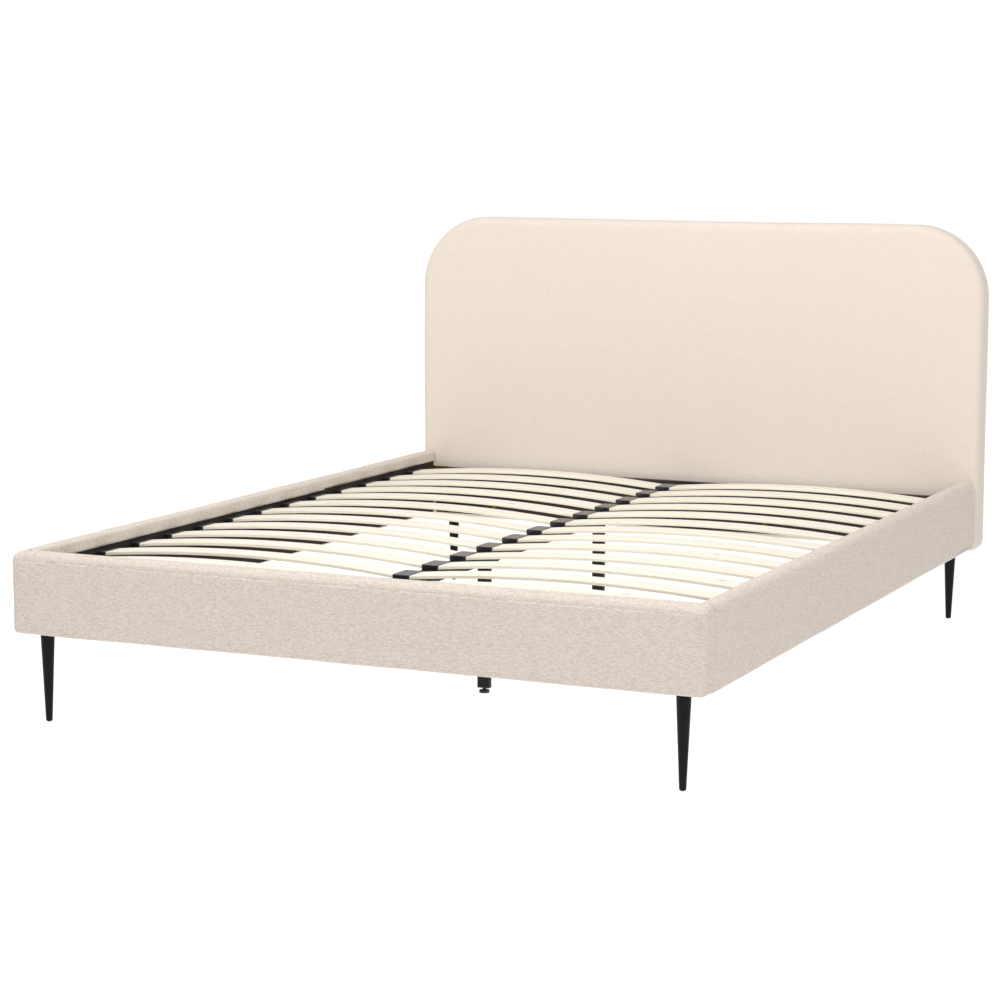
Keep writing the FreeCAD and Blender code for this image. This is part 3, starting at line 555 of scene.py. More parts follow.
def paddedSlab(spec, place):
    # place turns (across, up, depth behind the face) into a point of the frame.
    # Returns the mesh and the numbers of the points on its back.
    # Face and back radii are given for the right end, top, left end and bottom.
    runs = roundedOutline(spec["width"], spec["height"], spec["corners"], spec["cell"])
    loop = np.vstack([run[:-1] for run in runs])
    depth = spec["depth"]

    def radiusAt(angles, radii):
        return np.interp(angles % (2 * math.pi), np.linspace(0, 2 * math.pi, 5), (*radii, radii[0]))

    def inset(run, amount):
        outward = np.column_stack((np.cos(run[:, 2]), np.sin(run[:, 2])))
        return run[:, :2] - np.reshape(amount, (-1, 1)) * outward

    face, back = (radiusAt(loop[:, 2], spec[key]) for key in ("faceRadii", "backRadii"))
    frontGrid = patch(*[inset(run, radiusAt(run[:, 2], spec["faceRadii"])) for run in runs])
    backGrid = patch(*[inset(run, radiusAt(run[:, 2], spec["backRadii"])) for run in runs])
    rows, columns = frontGrid.shape[:2]
    points = [np.dstack((frontGrid, np.zeros((rows, columns)))).reshape(-1, 3)]
    rings = []
    for turn in np.linspace(0, math.pi / 2, spec["rimSteps"] + 1)[1:]:
        rings.append((face * (1 - math.sin(turn)), face * (1 - math.cos(turn))))
    sideSteps = spec["sideSteps"]
    for step in range(1, sideSteps + 1):
        rings.append((0.0, face + (depth - face - back) * step / sideSteps))
    for turn in np.linspace(math.pi / 2, 0, spec["backSteps"] + 1)[1:-1]:
        rings.append((back * (1 - math.sin(turn)), depth - back * (1 - math.cos(turn))))
    for amount, deep in rings:
        points.append(np.column_stack((inset(loop, amount), np.broadcast_to(deep, len(loop)))))
    points.append(np.dstack((backGrid, np.full((rows, columns), depth))).reshape(-1, 3))
    points = np.vstack(points)

    number = np.arange(rows * columns).reshape(rows, columns)
    border = np.concatenate((number[0, :-1], number[:-1, -1], number[-1, :0:-1], number[:0:-1, 0]))
    ringStart = rows * columns
    backStart = ringStart + len(rings) * len(loop)
    chain = [border] + [ringStart + index * len(loop) + np.arange(len(loop)) for index in range(len(rings))]
    chain.append(backStart + border)
    faces = []
    for start, flip in ((0, False), (backStart, True)):
        quads = gridQuads(number) + start
        faces.append(quads[:, ::-1] if flip else quads)
    for upper, lower in zip(chain[:-1], chain[1:]):
        faces.append(np.stack((upper, lower, np.roll(lower, -1), np.roll(upper, -1)), axis=-1))
    mesh = bpy.data.meshes.new(spec["name"])
    mesh.from_pydata([place(*point) for point in points], [], np.vstack(faces).tolist())
    tidyNormals(mesh)
    return mesh, list(range(backStart, len(points)))


def coordinates(mesh):
    values = np.zeros(len(mesh.vertices) * 3)
    mesh.vertices.foreach_get("co", values)
    return values.reshape(-1, 3)


# How the covers are simulated; each cover has its own stiffness, pressure and limit
clothSetup = {"quality": 5, "mass": 0.4, "bending": 0.6, "steps": 20, "evening": 40}


def evened(mesh, amounts, held):
    # Shares a movement with the neighbouring points, so that it has no steps
    ends = np.zeros(len(mesh.edges) * 2, dtype=int)
    mesh.edges.foreach_get("vertices", ends)
    first, second = ends.reshape(-1, 2).T
    count = np.bincount(first, minlength=len(amounts)) + np.bincount(second, minlength=len(amounts))
    for step in range(clothSetup["evening"]):
        total = (np.bincount(first, amounts[second], len(amounts))
                 + np.bincount(second, amounts[first], len(amounts)))
        amounts = (amounts + total / count) / 2
        amounts[held] = 0
    return amounts


def pullTight(piece, held, spec):
    # The cover is stapled where it is held and the wadding under it presses it out
    rest = coordinates(piece.data)
    group = piece.vertex_groups.new(name="stapled")
    group.add(held, 1.0, "REPLACE")
    cloth = piece.modifiers.new("cover", "CLOTH")
    settings = cloth.settings
    settings.quality = clothSetup["quality"]
    settings.mass = clothSetup["mass"]
    settings.tension_stiffness = settings.compression_stiffness = spec["stiffness"]
    settings.shear_stiffness = spec["stiffness"] / 2
    settings.bending_stiffness = clothSetup["bending"]
    settings.use_pressure = True
    settings.uniform_pressure_force = spec["pressure"]
    settings.vertex_group_mass = "stapled"
    settings.effector_weights.gravity = 0.0
    cloth.collision_settings.use_collision = False
    scene = bpy.context.scene
    for step in range(1, clothSetup["steps"] + 1):
        scene.frame_set(step)
    shaped = piece.evaluated_get(bpy.context.evaluated_depsgraph_get())
    moved = coordinates(shaped.data)
    piece.modifiers.remove(cloth)
    scene.frame_set(1)
    # The padding keeps it from sinking in, and the weave from swelling past a limit
    normals = np.zeros(rest.size)
    piece.data.vertices.foreach_get("normal", normals)
    normals = normals.reshape(-1, 3)
    swell = evened(piece.data, np.maximum(np.sum((moved - rest) * normals, axis=1), 0), held)
    rest = rest + normals * (spec["swell"] * np.tanh(swell / spec["swell"]))[:, None]
    print("  ", piece.name, "swelled by up to", round(float(swell.max()) * 1000, 1), "mm before the cap")
    piece.data.vertices.foreach_set("co", rest.ravel())
    piece.data.update()


def settle(piece):
    # Leaves the piece as its modifiers make it
    shaped = piece.evaluated_get(bpy.context.evaluated_depsgraph_get())
    mesh = bpy.data.meshes.new_from_object(shaped)
    piece.modifiers.clear()
    old = piece.data
    piece.data = mesh
    bpy.data.meshes.remove(old)
    mesh.name = piece.name
    return piece


def smoothOnce(piece):
    piece.modifiers.new("smoother", "SUBSURF").levels = 1
    settle(piece)


def slack(piece, amount, size):
    # Slow small waves in the cloth, as hand-pulled covers have
    mesh = piece.data
    places = coordinates(mesh)
    normals = np.zeros(len(mesh.vertices) * 3)
    mesh.vertices.foreach_get("normal", normals)
    waves = np.array([noise.noise(Vector(place) / size) for place in places])
    places += normals.reshape(-1, 3) * (amount * waves)[:, None]
    mesh.vertices.foreach_set("co", places.ravel())
    mesh.update()


# The covers stand this far proud of the CAD boxes, at the sides and on top
proud = {"side": 0.004, "top": 0.0025}


def coverBox(name, left, right):
    # left and right are 1 where that side of the cover is an outer face, and 0 where it isn't
    low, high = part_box(name)
    low.x -= proud["side"] * left
    high.x += proud["side"] * right
    high.z += proud["top"]
    return low, high


railBox = {
    "side_rail_cover_right": coverBox("side_rail_cover_right", 0, 1),
    "side_rail_cover_left": coverBox("side_rail_cover_left", 1, 0),
    "foot_rail_cover": coverBox("foot_rail_cover", 1, 1),
}
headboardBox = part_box("headboard_cover")

footRail = {
    "name": "foot_rail_boucle", "cell": 0.009, "corners": (0.012, 0.012, 0.017, 0.017),
    "faceRadii": (0.010, 0.021, 0.010, 0.008), "backRadii": (0.002, 0.008, 0.002, 0.006),
    "sideSteps": 8, "rimSteps": 4, "backSteps": 3, "stiffness": 12.0, "pressure": 4.0, "swell": 0.0022,
    "slack": 0.0012, "slackSize": 0.17, "seamPlace": 0.014, "seamWidth": 0.0024,
    "seamDepth": 0.0022,
}
sideRail = {
    "name": "side_rail_boucle", "cell": 0.009, "endRadius": 0.015, "topRadius": 0.017, "bottomRadius": 0.008,
    "footRadius": 0.003, "backRadii": (0.003, 0.008, 0.003, 0.006),
    "sideSteps": 2, "rimSteps": 4, "backSteps": 3,
    "headTop": 0.024, "headBottom": 0.012, "footTop": 0.017, "footBottom": 0.012, "footSharp": 0.08,
    "reach": 0.0007, "held": 0.003, "stiffness": 12.0, "pressure": 4.0, "swell": 0.0024,
    "slack": 0.0012, "slackSize": 0.19,
}
liningWindow = {"top": 0.031, "bottom": 0.005, "ends": 0.012, "head": 0.02, "hem": 0.002}
headboard = {
    "name": "headboard_boucle", "cell": 0.0125, "corners": (0.022, 0.022, 0.195, 0.195),
    "faceRadii": (0.016, 0.018, 0.016, 0.014), "backRadii": (0.012, 0.012, 0.012, 0.012),
    "sideSteps": 4, "rimSteps": 4, "backSteps": 3, "stiffness": 15.0, "pressure": 3.0, "swell": 0.004,
    "slack": 0.0022, "slackSize": 0.34,
}


def openWindow(piece, inside):
    # Cuts the cover away where the lining shows, and turns its edge in
    shell = bmesh.new()
    shell.from_mesh(piece.data)
    gone = [face for face in shell.faces if inside(face.calc_center_median())]
    bmesh.ops.delete(shell, geom=gone, context="FACES")
    rim = [edge for edge in shell.edges if edge.is_boundary]
    turned = bmesh.ops.extrude_edge_only(shell, edges=rim)
    newPoints = [item for item in turned["geom"] if isinstance(item, bmesh.types.BMVert)]
    return shell, newPoints


def closeShell(shell, piece):
    shell.to_mesh(piece.data)
    shell.free()
    piece.data.polygons.foreach_set("use_smooth", [True] * len(piece.data.polygons))
    piece.data.update()


def footRailSpec(gap):
    low, high = railBox["foot_rail_cover"]
    middleZ = (low.z + high.z) / 2
    spec = {**footRail, "width": high.x - low.x - 2 * gap, "height": high.z - low.z - 2 * gap,
            "depth": high.y - low.y - gap, "corners": [radius - gap for radius in footRail["corners"]],
            "faceRadii": [radius - gap for radius in footRail["faceRadii"]]}
    return spec, lambda across, up, deep: (across, low.y + gap + deep, middleZ + up)


def sewCorners(piece, spec):
    # A seam runs down each front corner, where the end of the cover is sewn on
    low, high = railBox["foot_rail_cover"]
    places = coordinates(piece.data)
    side = np.sign(places[:, 0])
    fromEnd = high.x - np.abs(places[:, 0])
    fromFront = places[:, 1] - low.y
    nearCorner = (fromEnd < spec["seamPlace"] * 1.5) & (places[:, 2] < high.z - spec["seamPlace"])
    fromSeam = (fromFront - spec["seamPlace"]) / spec["seamWidth"]
    places[:, 0] -= side * spec["seamDepth"] * np.exp(-fromSeam ** 2) * nearCorner
    piece.data.vertices.foreach_set("co", places.ravel())
    piece.data.update()


def makeFootRail():
    low, high = railBox["foot_rail_cover"]
    spec, place = footRailSpec(0.0)
    mesh, held = paddedSlab(spec, place)
    piece = addPiece(spec["name"], mesh, "rail_fabric")
    pullTight(piece, held, spec)
    smoothOnce(piece)
    slack(piece, spec["slack"], spec["slackSize"])
    sewCorners(piece, spec)
    inner = high.y - liningWindow["hem"]

    def inside(centre):
        return (centre.y > inner and abs(centre.x) < high.x - liningWindow["ends"]
                and low.z + liningWindow["bottom"] < centre.z < high.z - liningWindow["top"])

    shell, turned = openWindow(piece, inside)
    for point in turned:
        point.co.y -= liningWindow["hem"]
    closeShell(shell, piece)
    return piece


def sideRailSpec(side, sideName, gap, footSharp):
    # The cover itself with no gap, or something that lies this far under it
    low, high = railBox["side_rail_cover_" + sideName]
    butt = low.y - sideRail["reach"] + gap
    outer = (high.x if side > 0 else low.x) - side * gap
    middleZ = (low.z + high.z) / 2
    corners = [sideRail[key] - gap for key in ("footBottom", "headBottom", "headTop", "footTop")]
    squeeze = corners[3] * (1 - footSharp)
    spec = {**sideRail, "width": high.y + sideRail["reach"] - gap - butt + squeeze,
            "height": high.z - low.z - 2 * gap, "depth": high.x - low.x - gap, "corners": corners,
            "faceRadii": [max(sideRail[key] - gap, 0.002)
                          for key in ("endRadius", "topRadius", "footRadius", "bottomRadius")]}

    def place(across, up, deep):
        # The foot end is nearly square, because it butts on the foot rail
        past = across + spec["width"] / 2
        along = past * footSharp if past < corners[3] else past - squeeze
        return outer - side * deep, butt + along, middleZ + up

    return spec, place


def makeSideRail(side, sideName):
    low, high = railBox["side_rail_cover_" + sideName]
    spec, place = sideRailSpec(side, sideName, 0.0, sideRail["footSharp"])
    mesh, held = paddedSlab(spec, place)
    butt = [index for index, point in enumerate(coordinates(mesh)) if point[1] < low.y + sideRail["held"]]
    piece = addPiece(sideRail["name"] + "_" + sideName, mesh, "rail_fabric")
    pullTight(piece, sorted(set(held) | set(butt)), spec)
    smoothOnce(piece)
    slack(piece, spec["slack"], spec["slackSize"])
    inner = (low.x if side > 0 else high.x) + side * liningWindow["hem"]

    def inside(centre):
        return (side * centre.x < side * inner
                and low.y + liningWindow["hem"] < centre.y < high.y - liningWindow["head"]
                and low.z + liningWindow["bottom"] < centre.z < high.z - liningWindow["top"])

    shell, turned = openWindow(piece, inside)
    for point in turned:
        point.co.x += side * liningWindow["hem"]
    closeShell(shell, piece)
    return piece


def insideOutline(across, up, width, height, lowRadius, topRadius):
    # How far a point lies inside the outline of the headboard
    radius = np.where(up > 0, topRadius, lowRadius)
    overX = np.abs(across) - (width / 2 - radius)
    overZ = np.abs(up) - (height / 2 - radius)
    past = np.hypot(np.maximum(overX, 0), np.maximum(overZ, 0)) + np.minimum(np.maximum(overX, overZ), 0)
    return radius - past


def headboardSpec(gap):
    low, high = headboardBox
    middleZ = (low.z + high.z) / 2
    spec = {**headboard, "width": high.x - low.x - 2 * gap, "height": high.z - low.z - 2 * gap,
            "depth": high.y - low.y - gap, "corners": [radius - gap for radius in headboard["corners"]],
            "faceRadii": [radius - gap for radius in headboard["faceRadii"]]}
    return spec, lambda across, up, deep: (across, low.y + gap + deep, middleZ + up)


def makeHeadboard():
    low, high = headboardBox
    spec, place = headboardSpec(0.0)
    mesh, held = paddedSlab(spec, place)
    piece = addPiece(spec["name"], mesh, "headboard_fabric")
    pullTight(piece, held, spec)
    smoothOnce(piece)
    slack(piece, spec["slack"], spec["slackSize"])

    # On the back the cover ends under the black cloth
    places = coordinates(piece.data)
    fromEdge = insideOutline(places[:, 0], places[:, 2] - (low.z + high.z) / 2, spec["width"], spec["height"],
                             spec["corners"][0], spec["corners"][2])
    onBack = places[:, 1] > high.y - spec["backRadii"][0]
    under = np.clip((fromEdge - backCloth["edge"]) / backCloth["recessSlope"], 0, 1)
    places[:, 1] -= backCloth["recess"] * under * onBack
    piece.data.vertices.foreach_set("co", places.ravel())
    shell = bmesh.new()
    shell.from_mesh(piece.data)
    shell.verts.ensure_lookup_table()
    gone = [face for face in shell.faces
            if all(onBack[corner.index] and fromEdge[corner.index] > backCloth["edge"] + backCloth["overlap"]
                   for corner in face.verts)]
    bmesh.ops.delete(shell, geom=gone, context="FACES")
    closeShell(shell, piece)
    return piece


def thicken(piece, thickness):
    skin = piece.modifiers.new("thickness", "SOLIDIFY")
    skin.thickness = thickness
    skin.offset = -1
    return settle(piece)


# Wadding between the covers and the boards, over the face, top and ends
wadding = {
    "gap": 0.0042, "cell": 0.02, "side": 0.0014, "foot": 0.005, "underside": 0.008, "inside": 0.006,
}


def makeWadding(name, spec, place, thickness, keep):
    mesh = paddedSlab({**spec, "cell": wadding["cell"]}, place)[0]
    piece = addPiece(name, mesh, "wadding")
    shell = bmesh.new()
    shell.from_mesh(mesh)
    gone = [face for face in shell.faces if not keep(face.calc_center_median())]
    bmesh.ops.delete(shell, geom=gone, context="FACES")
    closeShell(shell, piece)
    return thicken(piece, thickness)


def sideWadding(side, sideName):
    low, high = railBox["side_rail_cover_" + sideName]
    spec, place = sideRailSpec(side, sideName, wadding["gap"], 1.0)

    def keep(centre):
        inward = centre.x - low.x if side > 0 else high.x - centre.x
        return (centre.z > low.z + wadding["underside"] and inward > wadding["inside"]
                and centre.y > low.y + wadding["inside"])

    return makeWadding("side_rail_wadding_" + sideName, spec, place, wadding["side"], keep)


def footWadding():
    low, high = railBox["foot_rail_cover"]
    spec, place = footRailSpec(wadding["gap"])
    return makeWadding("foot_rail_wadding", spec, place, wadding["foot"],
                       lambda centre: centre.z > low.z + wadding["underside"]
                       and centre.y < high.y - wadding["inside"])


# Foam on the headboard: a slab over the panel and a strip round its edges
foam = {
    "gap": 0.0034, "cell": 0.03, "depth": 0.0234, "backRadius": 0.001,
    "strip": ((0.0034, 0.0272), (0.0034, 0.0605), (0.0062, 0.0690), (0.0097, 0.0714), (0.0097, 0.0272)),
}


def makeFoam():
    spec, place = headboardSpec(foam["gap"])
    spec = {**spec, "cell": foam["cell"], "depth": foam["depth"], "backRadii": [foam["backRadius"]] * 4,
            "sideSteps": 1}
    slab = addPiece("headboard_foam_slab", paddedSlab(spec, place)[0], "foam")

    whole, place = headboardSpec(0.0)
    runs = roundedOutline(whole["width"], whole["height"], whole["corners"], foam["cell"])
    line = np.vstack((runs[1][:-1], runs[2][:-1], runs[3]))
    outward = np.column_stack((np.cos(line[:, 2]), np.sin(line[:, 2])))
    points, faces = [], []
    count = len(foam["strip"])
    for at, way in zip(line, outward):
        for inset, deep in foam["strip"]:
            points.append(place(*(at[:2] - inset * way), deep))
    for ring in range(len(line) - 1):
        for step in range(count):
            after = (step + 1) % count
            faces.append((ring * count + step, ring * count + after,
                          (ring + 1) * count + after, (ring + 1) * count + step))
    faces.append(tuple(range(count))[::-1])
    faces.append(tuple(range((len(line) - 1) * count, len(line) * count)))
    mesh = bpy.data.meshes.new("headboard_edge_foam")
    mesh.from_pydata(points, [], faces)
    tidyNormals(mesh)
    return slab, addPiece("headboard_edge_foam", mesh, "foam", smooth=False)


# Black cloth: over the back of the headboard, and along the inner faces of the rails
backCloth = {
    "edge": 0.048, "lowCorner": 0.006, "cell": 0.02, "recess": 0.0016, "recessSlope": 0.006, "overlap": 0.02,
    "rise": 0.0010, "floor": 0.0007, "hem": 0.006, "slope": 0.008, "ripple": 0.0007, "rippleSize": 0.09,
    "thickness": 0.0006, "staplePitch": 0.045,
}
lining = {
    "cell": 0.02, "ripple": 0.0005, "rippleSize": 0.045, "inside": 0.0010, "thickness": 0.0003,
    "endGap": 0.002, "sideStaples": (0.03, 0.02), "footStaples": (-0.76, 0.77),
}


def clothMesh(name, grid, finishName, thickness):
    rows, columns = grid.shape[:2]
    number = np.arange(rows * columns).reshape(rows, columns)
    mesh = bpy.data.meshes.new(name)
    mesh.from_pydata(grid.reshape(-1, 3).tolist(), [], gridQuads(number).tolist())
    return thicken(addPiece(name, mesh, finishName), thickness)


def makeBackCloth():
    low, high = headboardBox
    middleZ = (low.z + high.z) / 2
    edge = backCloth["edge"]
    width, height = high.x - low.x - 2 * edge, high.z - low.z - 2 * edge
    topCorner = headboard["corners"][2] - edge
    corners = (backCloth["lowCorner"], backCloth["lowCorner"], topCorner, topCorner)
    flat = patch(*[run[:, :2] for run in roundedOutline(width, height, corners, backCloth["cell"])])
    fromEdge = insideOutline(flat[..., 0], flat[..., 1], width, height, corners[0], corners[2])
    down = np.clip((fromEdge - backCloth["hem"]) / backCloth["slope"], 0, 1)
    waves = np.array([noise.noise(Vector((x, 0, z)) / backCloth["rippleSize"])
                      for x, z in flat.reshape(-1, 2)])
    lift = backCloth["rise"] - (backCloth["rise"] + backCloth["floor"]) * down
    lift += backCloth["ripple"] * waves.reshape(lift.shape) * down
    grid = np.dstack((-flat[..., 0], high.y + lift, flat[..., 1] + middleZ))
    piece = clothMesh("headboard_black_cloth", grid, "black_lining", backCloth["thickness"])
    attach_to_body(piece, "bed")
    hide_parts("headboard_back_cloth")
    line = np.vstack([run[:-1] for run in roundedOutline(width, height, corners, backCloth["staplePitch"])])
    places = []
    last = Vector((0, 0, 0))
    for x, z, angle in line:
        point = Vector((x, 0, z)) - staple["inset"] * Vector((math.cos(angle), 0, math.sin(angle)))
        if (point - last).length < staple["least"]:
            continue
        last = point
        along = Vector((-math.sin(angle), 0, math.cos(angle)))
        places.append((point + Vector((0, high.y + backCloth["rise"], middleZ)), along, Vector((0, 1, 0))))
    return places


def makeLining(name, ends, heights, place):
    across = np.linspace(*ends, round((ends[1] - ends[0]) / lining["cell"]) + 1)
    up = np.linspace(*heights, round((heights[1] - heights[0]) / lining["cell"]) + 1)
    grid = np.zeros((len(up), len(across), 3))
    for row, height in enumerate(up):
        for column, along in enumerate(across):
            wave = noise.noise(Vector((along, height, 0)) / lining["rippleSize"])
            grid[row, column] = place(along, height, lining["ripple"] * (0.5 + 0.5 * wave))
    piece = clothMesh(name, grid, "black_lining", lining["thickness"])
    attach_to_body(piece, "bed")
    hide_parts("rail_linings")


def makeLinings():
    places = []
    for side, sideName in ((1, "right"), (-1, "left")):
        low, high = railBox["side_rail_cover_" + sideName]
        faceX = min(abs(low.x), abs(high.x)) + lining["inside"]
        ends = (low.y + lining["endGap"], high.y - lining["endGap"])
        heights = (low.z + liningWindow["bottom"], high.z - liningWindow["top"])
        makeLining("side_rail_lining_" + sideName, ends, heights,
                   lambda along, up, deep: (side * (faceX + deep), along, up))
        first, last = lining["sideStaples"]
        for at in np.arange(ends[0] + first, ends[1] - last, staple["spacing"]):
            places.append((Vector((side * faceX, at, heights[1] - staple["inset"])), Vector((0, 1, 0)),
                           Vector((-side, 0, 0))))
    low, high = railBox["foot_rail_cover"]
    ends = (low.x + liningWindow["ends"], high.x - liningWindow["ends"])
    faceY = high.y - lining["inside"]
    makeLining("foot_rail_lining", ends, heights,
               lambda along, up, deep: (along, faceY - deep, up))
    for at in np.arange(*lining["footStaples"], staple["spacing"]):
        places.append((Vector((at, faceY, heights[1] - staple["inset"])), Vector((1, 0, 0)),
                       Vector((0, 1, 0))))
    return places


# Wire staples, all of one cloth joined as a piece
staple = {
    "crown": 0.010, "wire": 0.0011, "stand": 0.0005, "inset": 0.006, "spacing": 0.062, "least": 0.03,
    "tilt": 0.16, "topShare": (0.94, 0.8),
}


def makeStaples(name, places, finishName):
    points, faces = [], []
    half = Vector((staple["crown"], staple["wire"], staple["stand"])) / 2
    longShare, wideShare = staple["topShare"]
    base = [(-1, -1, -1), (1, -1, -1), (1, 1, -1), (-1, 1, -1)]
    box = base + [(x * longShare, y * wideShare, 1) for x, y, z in base]
    for index, (centre, along, outward) in enumerate(places):
        tilt = staple["tilt"] * noise.noise(Vector((index * 1.7, 0.3, 0.9)))
        turned = Matrix.Rotation(tilt, 3, outward) @ along
        side = outward.cross(turned)
        start = len(points)
        for signs in box:
            points.append(centre + turned * (signs[0] * half.x) + side * (signs[1] * half.y)
                          + outward * ((signs[2] + 1) * half.z))
        for corners in ((0, 3, 2, 1), (4, 5, 6, 7), (0, 1, 5, 4), (1, 2, 6, 5), (2, 3, 7, 6), (3, 0, 4, 7)):
            faces.append([start + corner for corner in corners])
    mesh = bpy.data.meshes.new(name)
    mesh.from_pydata(points, [], faces)
    tidyNormals(mesh)
    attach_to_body(addPiece(name, mesh, finishName, smooth=False), "bed")


# Turned parts: rings up an axis, each a radius for every angle
thread = {"pitch": 0.00125, "depth": 0.00045}
hexSocket = {"size": 0.0023, "deep": 0.0024, "taper": 0.97}
crossSocket = {"arm": 0.0028, "width": 0.0006, "deep": 0.0014, "taper": 0.5}
turns = np.linspace(0, 2 * math.pi, 49)[:-1]
sharpAngle = math.radians(32)


def hexagon(size):
    sector = (turns + math.pi / 6) % (math.pi / 3) - math.pi / 6
    return size / np.cos(sector)


def crossShape(arm, width):
    cosine, sine = np.abs(np.cos(turns)) + 1e-6, np.abs(np.sin(turns)) + 1e-6
    return np.maximum(np.minimum(arm / cosine, width / sine), np.minimum(arm / sine, width / cosine))


def roundBar(radius):
    return np.full(len(turns), radius)


def threadRings(radius, start, end):
    rings = []
    steps = int((end - start) / thread["pitch"])
    for step in range(steps):
        at = start + (end - start) * step / steps
        half = (end - start) / steps / 2
        rings += [(at, roundBar(radius)), (at + half, roundBar(radius - thread["depth"]))]
    return rings + [(end, roundBar(radius))]


def turnedShape(rings):
    count = len(turns)
    cosine, sine = np.cos(turns), np.sin(turns)
    points = np.vstack([np.column_stack((radii * cosine, radii * sine, np.full(count, height)))
                        for height, radii in rings])
    faces = []
    around = np.arange(count)
    for ring in range(len(rings) - 1):
        lower, upper = ring * count + around, (ring + 1) * count + around
        faces += np.stack((lower, np.roll(lower, -1), np.roll(upper, -1), upper), axis=-1).tolist()
    faces.append(around[::-1].tolist())
    faces.append(((len(rings) - 1) * count + around).tolist())
    return points, faces


# Shares of the shank's radius or the thread's length, and each head's rings from its rim to its middle
shankShares = {"point": 0.55, "pointLength": 0.5, "threadStart": 0.6, "plain": 0.25}
headRings = {
    "hex": ((0.55, 1.0), (0.3, 0.9), (0.1, 0.68), (0.0, 0.45)),
    "cross": ((0.75, 1.0), (0.4, 0.86), (0.15, 0.66)),
}


def fastenerShape(length, shank, head, headHeight, socket):
    # The head is at the top, from 0 down to headHeight, and the shank below it
    rings = [(-length, roundBar(shank * shankShares["point"])),
             (-length + shank * shankShares["pointLength"], roundBar(shank))]
    rings += threadRings(shank, -length + shank * shankShares["threadStart"],
                         -headHeight - (length - headHeight) * shankShares["plain"])
    rings += [(-headHeight, roundBar(shank)), (-headHeight, roundBar(head))]
    rings += [(-headHeight * down, roundBar(head * share)) for down, share in headRings[socket]]
    if socket == "hex":
        rim, sunk, narrowing = hexagon(hexSocket["size"]), hexSocket["deep"], hexSocket["taper"]
    else:
        rim = crossShape(crossSocket["arm"], crossSocket["width"])
        sunk, narrowing = crossSocket["deep"], crossSocket["taper"]
    top = rings[-1][0]
    rings += [(top, rim), (top - sunk, rim * narrowing)]
    return turnedShape(rings)


def solidsOf(node):
    # The separate solids of a CAD part, as arrays of their corners
    shell = bmesh.new()
    shell.from_mesh(nodes[node].data)
    bmesh.ops.remove_doubles(shell, verts=shell.verts, dist=0.00001)
    seen = set()
    solids = []
    for seed in shell.verts:
        if seed in seen:
            continue
        seen.add(seed)
        group, queue = [], [seed]
        while queue:
            point = queue.pop()
            group.append(nodes[node].matrix_world @ point.co)
            for edge in point.link_edges:
                other = edge.other_vert(point)
                if other not in seen:
                    seen.add(other)
                    queue.append(other)
        solids.append(np.array(group))
    shell.free()
    return solids


fasteners = {
    "frame_bolts": {"shank": 0.004, "head": 0.007, "headHeight": 0.004, "socket": "hex"},
    "headboard_bolts": {"shank": 0.004, "head": 0.007, "headHeight": 0.004, "socket": "hex"},
    "wood_screws": {"shank": 0.002, "head": 0.0045, "headHeight": 0.0025, "socket": "cross"},
}


def addDetailed(node, points, faces, finishName, body):
    mesh = bpy.data.meshes.new(node + "_detailed")
    mesh.from_pydata(points.tolist(), [], faces)
    tidyNormals(mesh)
    piece = addPiece(node + "_detailed", mesh, finishName)
    mesh.set_sharp_from_angle(angle=sharpAngle)
    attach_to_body(piece, body)
    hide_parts(node)


def makeFasteners(node, spec):
    points, faces = [], []
    for index, solid in enumerate(solidsOf(node)):
        low, high = solid.min(axis=0), solid.max(axis=0)
        axis = int(np.argmax(high - low))
        middle = (low + high) / 2
        spread = np.linalg.norm(np.delete(solid - middle, axis, axis=1), axis=1)
        headPlace = solid[np.argmax(spread), axis]
        outward = np.zeros(3)
        outward[axis] = 1.0 if headPlace > middle[axis] else -1.0
        top = middle.copy()
        top[axis] = high[axis] if outward[axis] > 0 else low[axis]
        shape, shapeFaces = fastenerShape(float((high - low)[axis]), **spec)
        first = np.roll(outward, 1)
        second = np.cross(outward, first)
        twist = 2.4 * index
        across = first * math.cos(twist) + second * math.sin(twist)
        beside = np.cross(outward, across)
        start = sum(len(block) for block in points)
        points.append(top + shape[:, :1] * across + shape[:, 1:2] * beside + shape[:, 2:] * outward)
        faces += [[start + corner for corner in face] for face in shapeFaces]
    addDetailed(node, np.vstack(points), faces, "gold_zinc", "bed")


# An edge is pairs of a height, from the pad's nearer face, and how far the pad's rim lies in there
levellingFoot = {
    "pad": 0.0125, "padHeight": 0.007, "stud": 0.004, "ribs": 24, "ribDepth": 0.0005,
    "lowEdge": ((0.0, 0.0012), (0.0005, 0.0003)), "highEdge": ((0.0006, 0.0008), (0.0, 0.002)),
    "ribSpan": (0.0012, 0.0018), "threadGap": 0.0004, "tipLength": 0.0008, "tipInset": 0.0007,
}


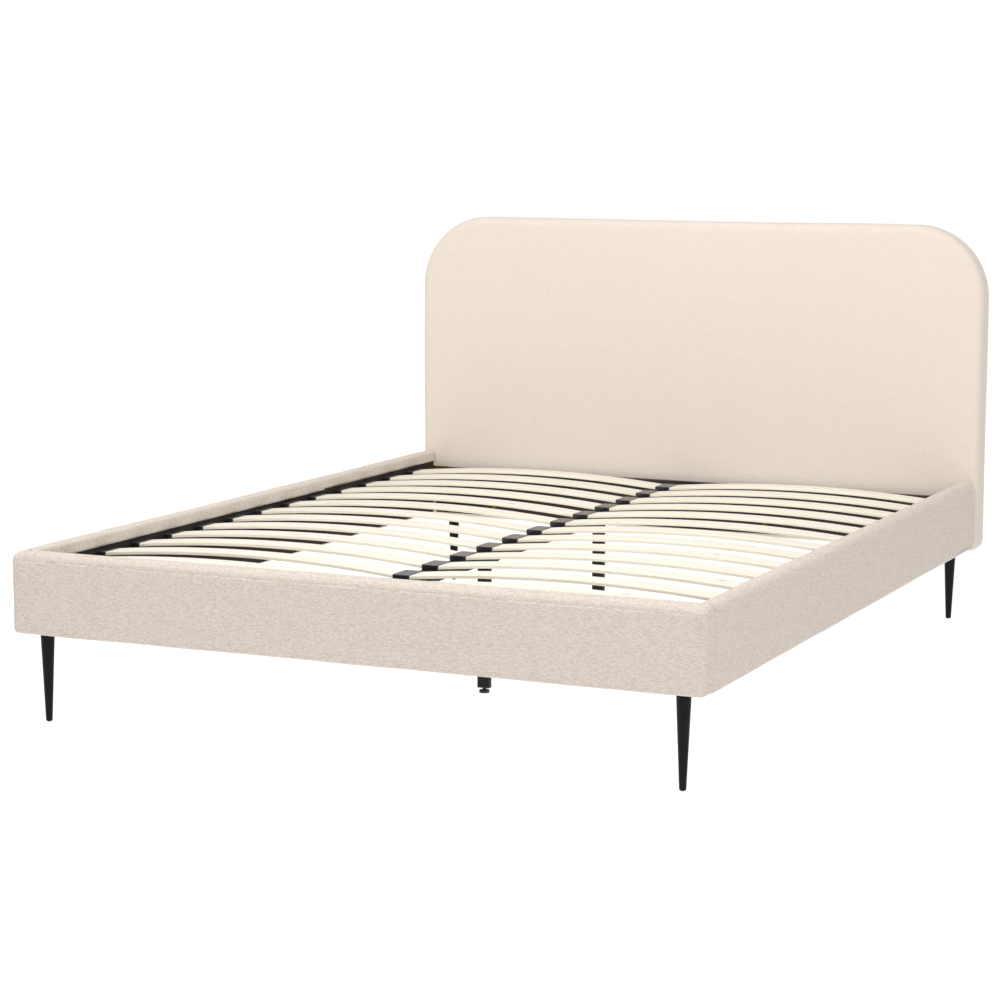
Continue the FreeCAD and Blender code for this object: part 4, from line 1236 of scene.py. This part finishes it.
def makeLevellingFoot(place):
    node = "levelling_foot_" + place
    low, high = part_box(node)
    middle = (low + high) / 2
    pad, stud, height = levellingFoot["pad"], levellingFoot["stud"], levellingFoot["padHeight"]
    ribbed = pad - levellingFoot["ribDepth"] * (np.cos(turns * levellingFoot["ribs"]) < 0)
    ribStart, ribEnd = levellingFoot["ribSpan"]
    rings = [(up, roundBar(pad - inset)) for up, inset in levellingFoot["lowEdge"]]
    rings += [(ribStart, ribbed), (height - ribEnd, ribbed)]
    rings += [(height - down, roundBar(pad - inset)) for down, inset in levellingFoot["highEdge"]]
    rings.append((height, roundBar(stud)))
    top = high.z - low.z
    rings += threadRings(stud, height + levellingFoot["threadGap"], top - levellingFoot["tipLength"])
    rings.append((top, roundBar(stud - levellingFoot["tipInset"])))
    points, faces = turnedShape(rings)
    points = points + np.array((middle.x, middle.y, low.z))
    addDetailed(node, points, faces, "foot_plastic", place + "_levelling_foot")


def attach(piece, slotName, fill, *replaced):
    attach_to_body(piece, "bed")
    if replaced:
        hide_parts(*replaced)


finishes = makeFinishes()
makeStudio()
makeCamera()
finishCadParts()
print("camera, light and finishes ready")

attach(makeFootRail(), "rail_fabric", 0.85, "foot_rail_cover")
attach(makeSideRail(1, "right"), "rail_fabric", 0.85, "side_rail_cover_right")
attach(makeSideRail(-1, "left"), "rail_fabric", 0.85, "side_rail_cover_left")
attach(footWadding(), "wadding", 0.8, "foot_rail_padding")
attach(sideWadding(1, "right"), "wadding", 0.8, "side_rail_padding")
attach(sideWadding(-1, "left"), "wadding", 0.8, "side_rail_padding")
print("rails padded and covered")
attach(makeHeadboard(), "headboard_fabric", 0.9, "headboard_cover")
for foamPiece in makeFoam():
    attach(foamPiece, "wadding", 0.9, "headboard_foam")
makeStaples("back_cloth_staples", makeBackCloth(), "staple_steel")
makeStaples("lining_staples", makeLinings(), "black_metal")
print("headboard covered, linings and back cloth stapled")
for fastenerNode, fastenerSpec in fasteners.items():
    makeFasteners(fastenerNode, fastenerSpec)
for footPlace in ("front", "back"):
    makeLevellingFoot(footPlace)
print("fasteners and levelling feet threaded")
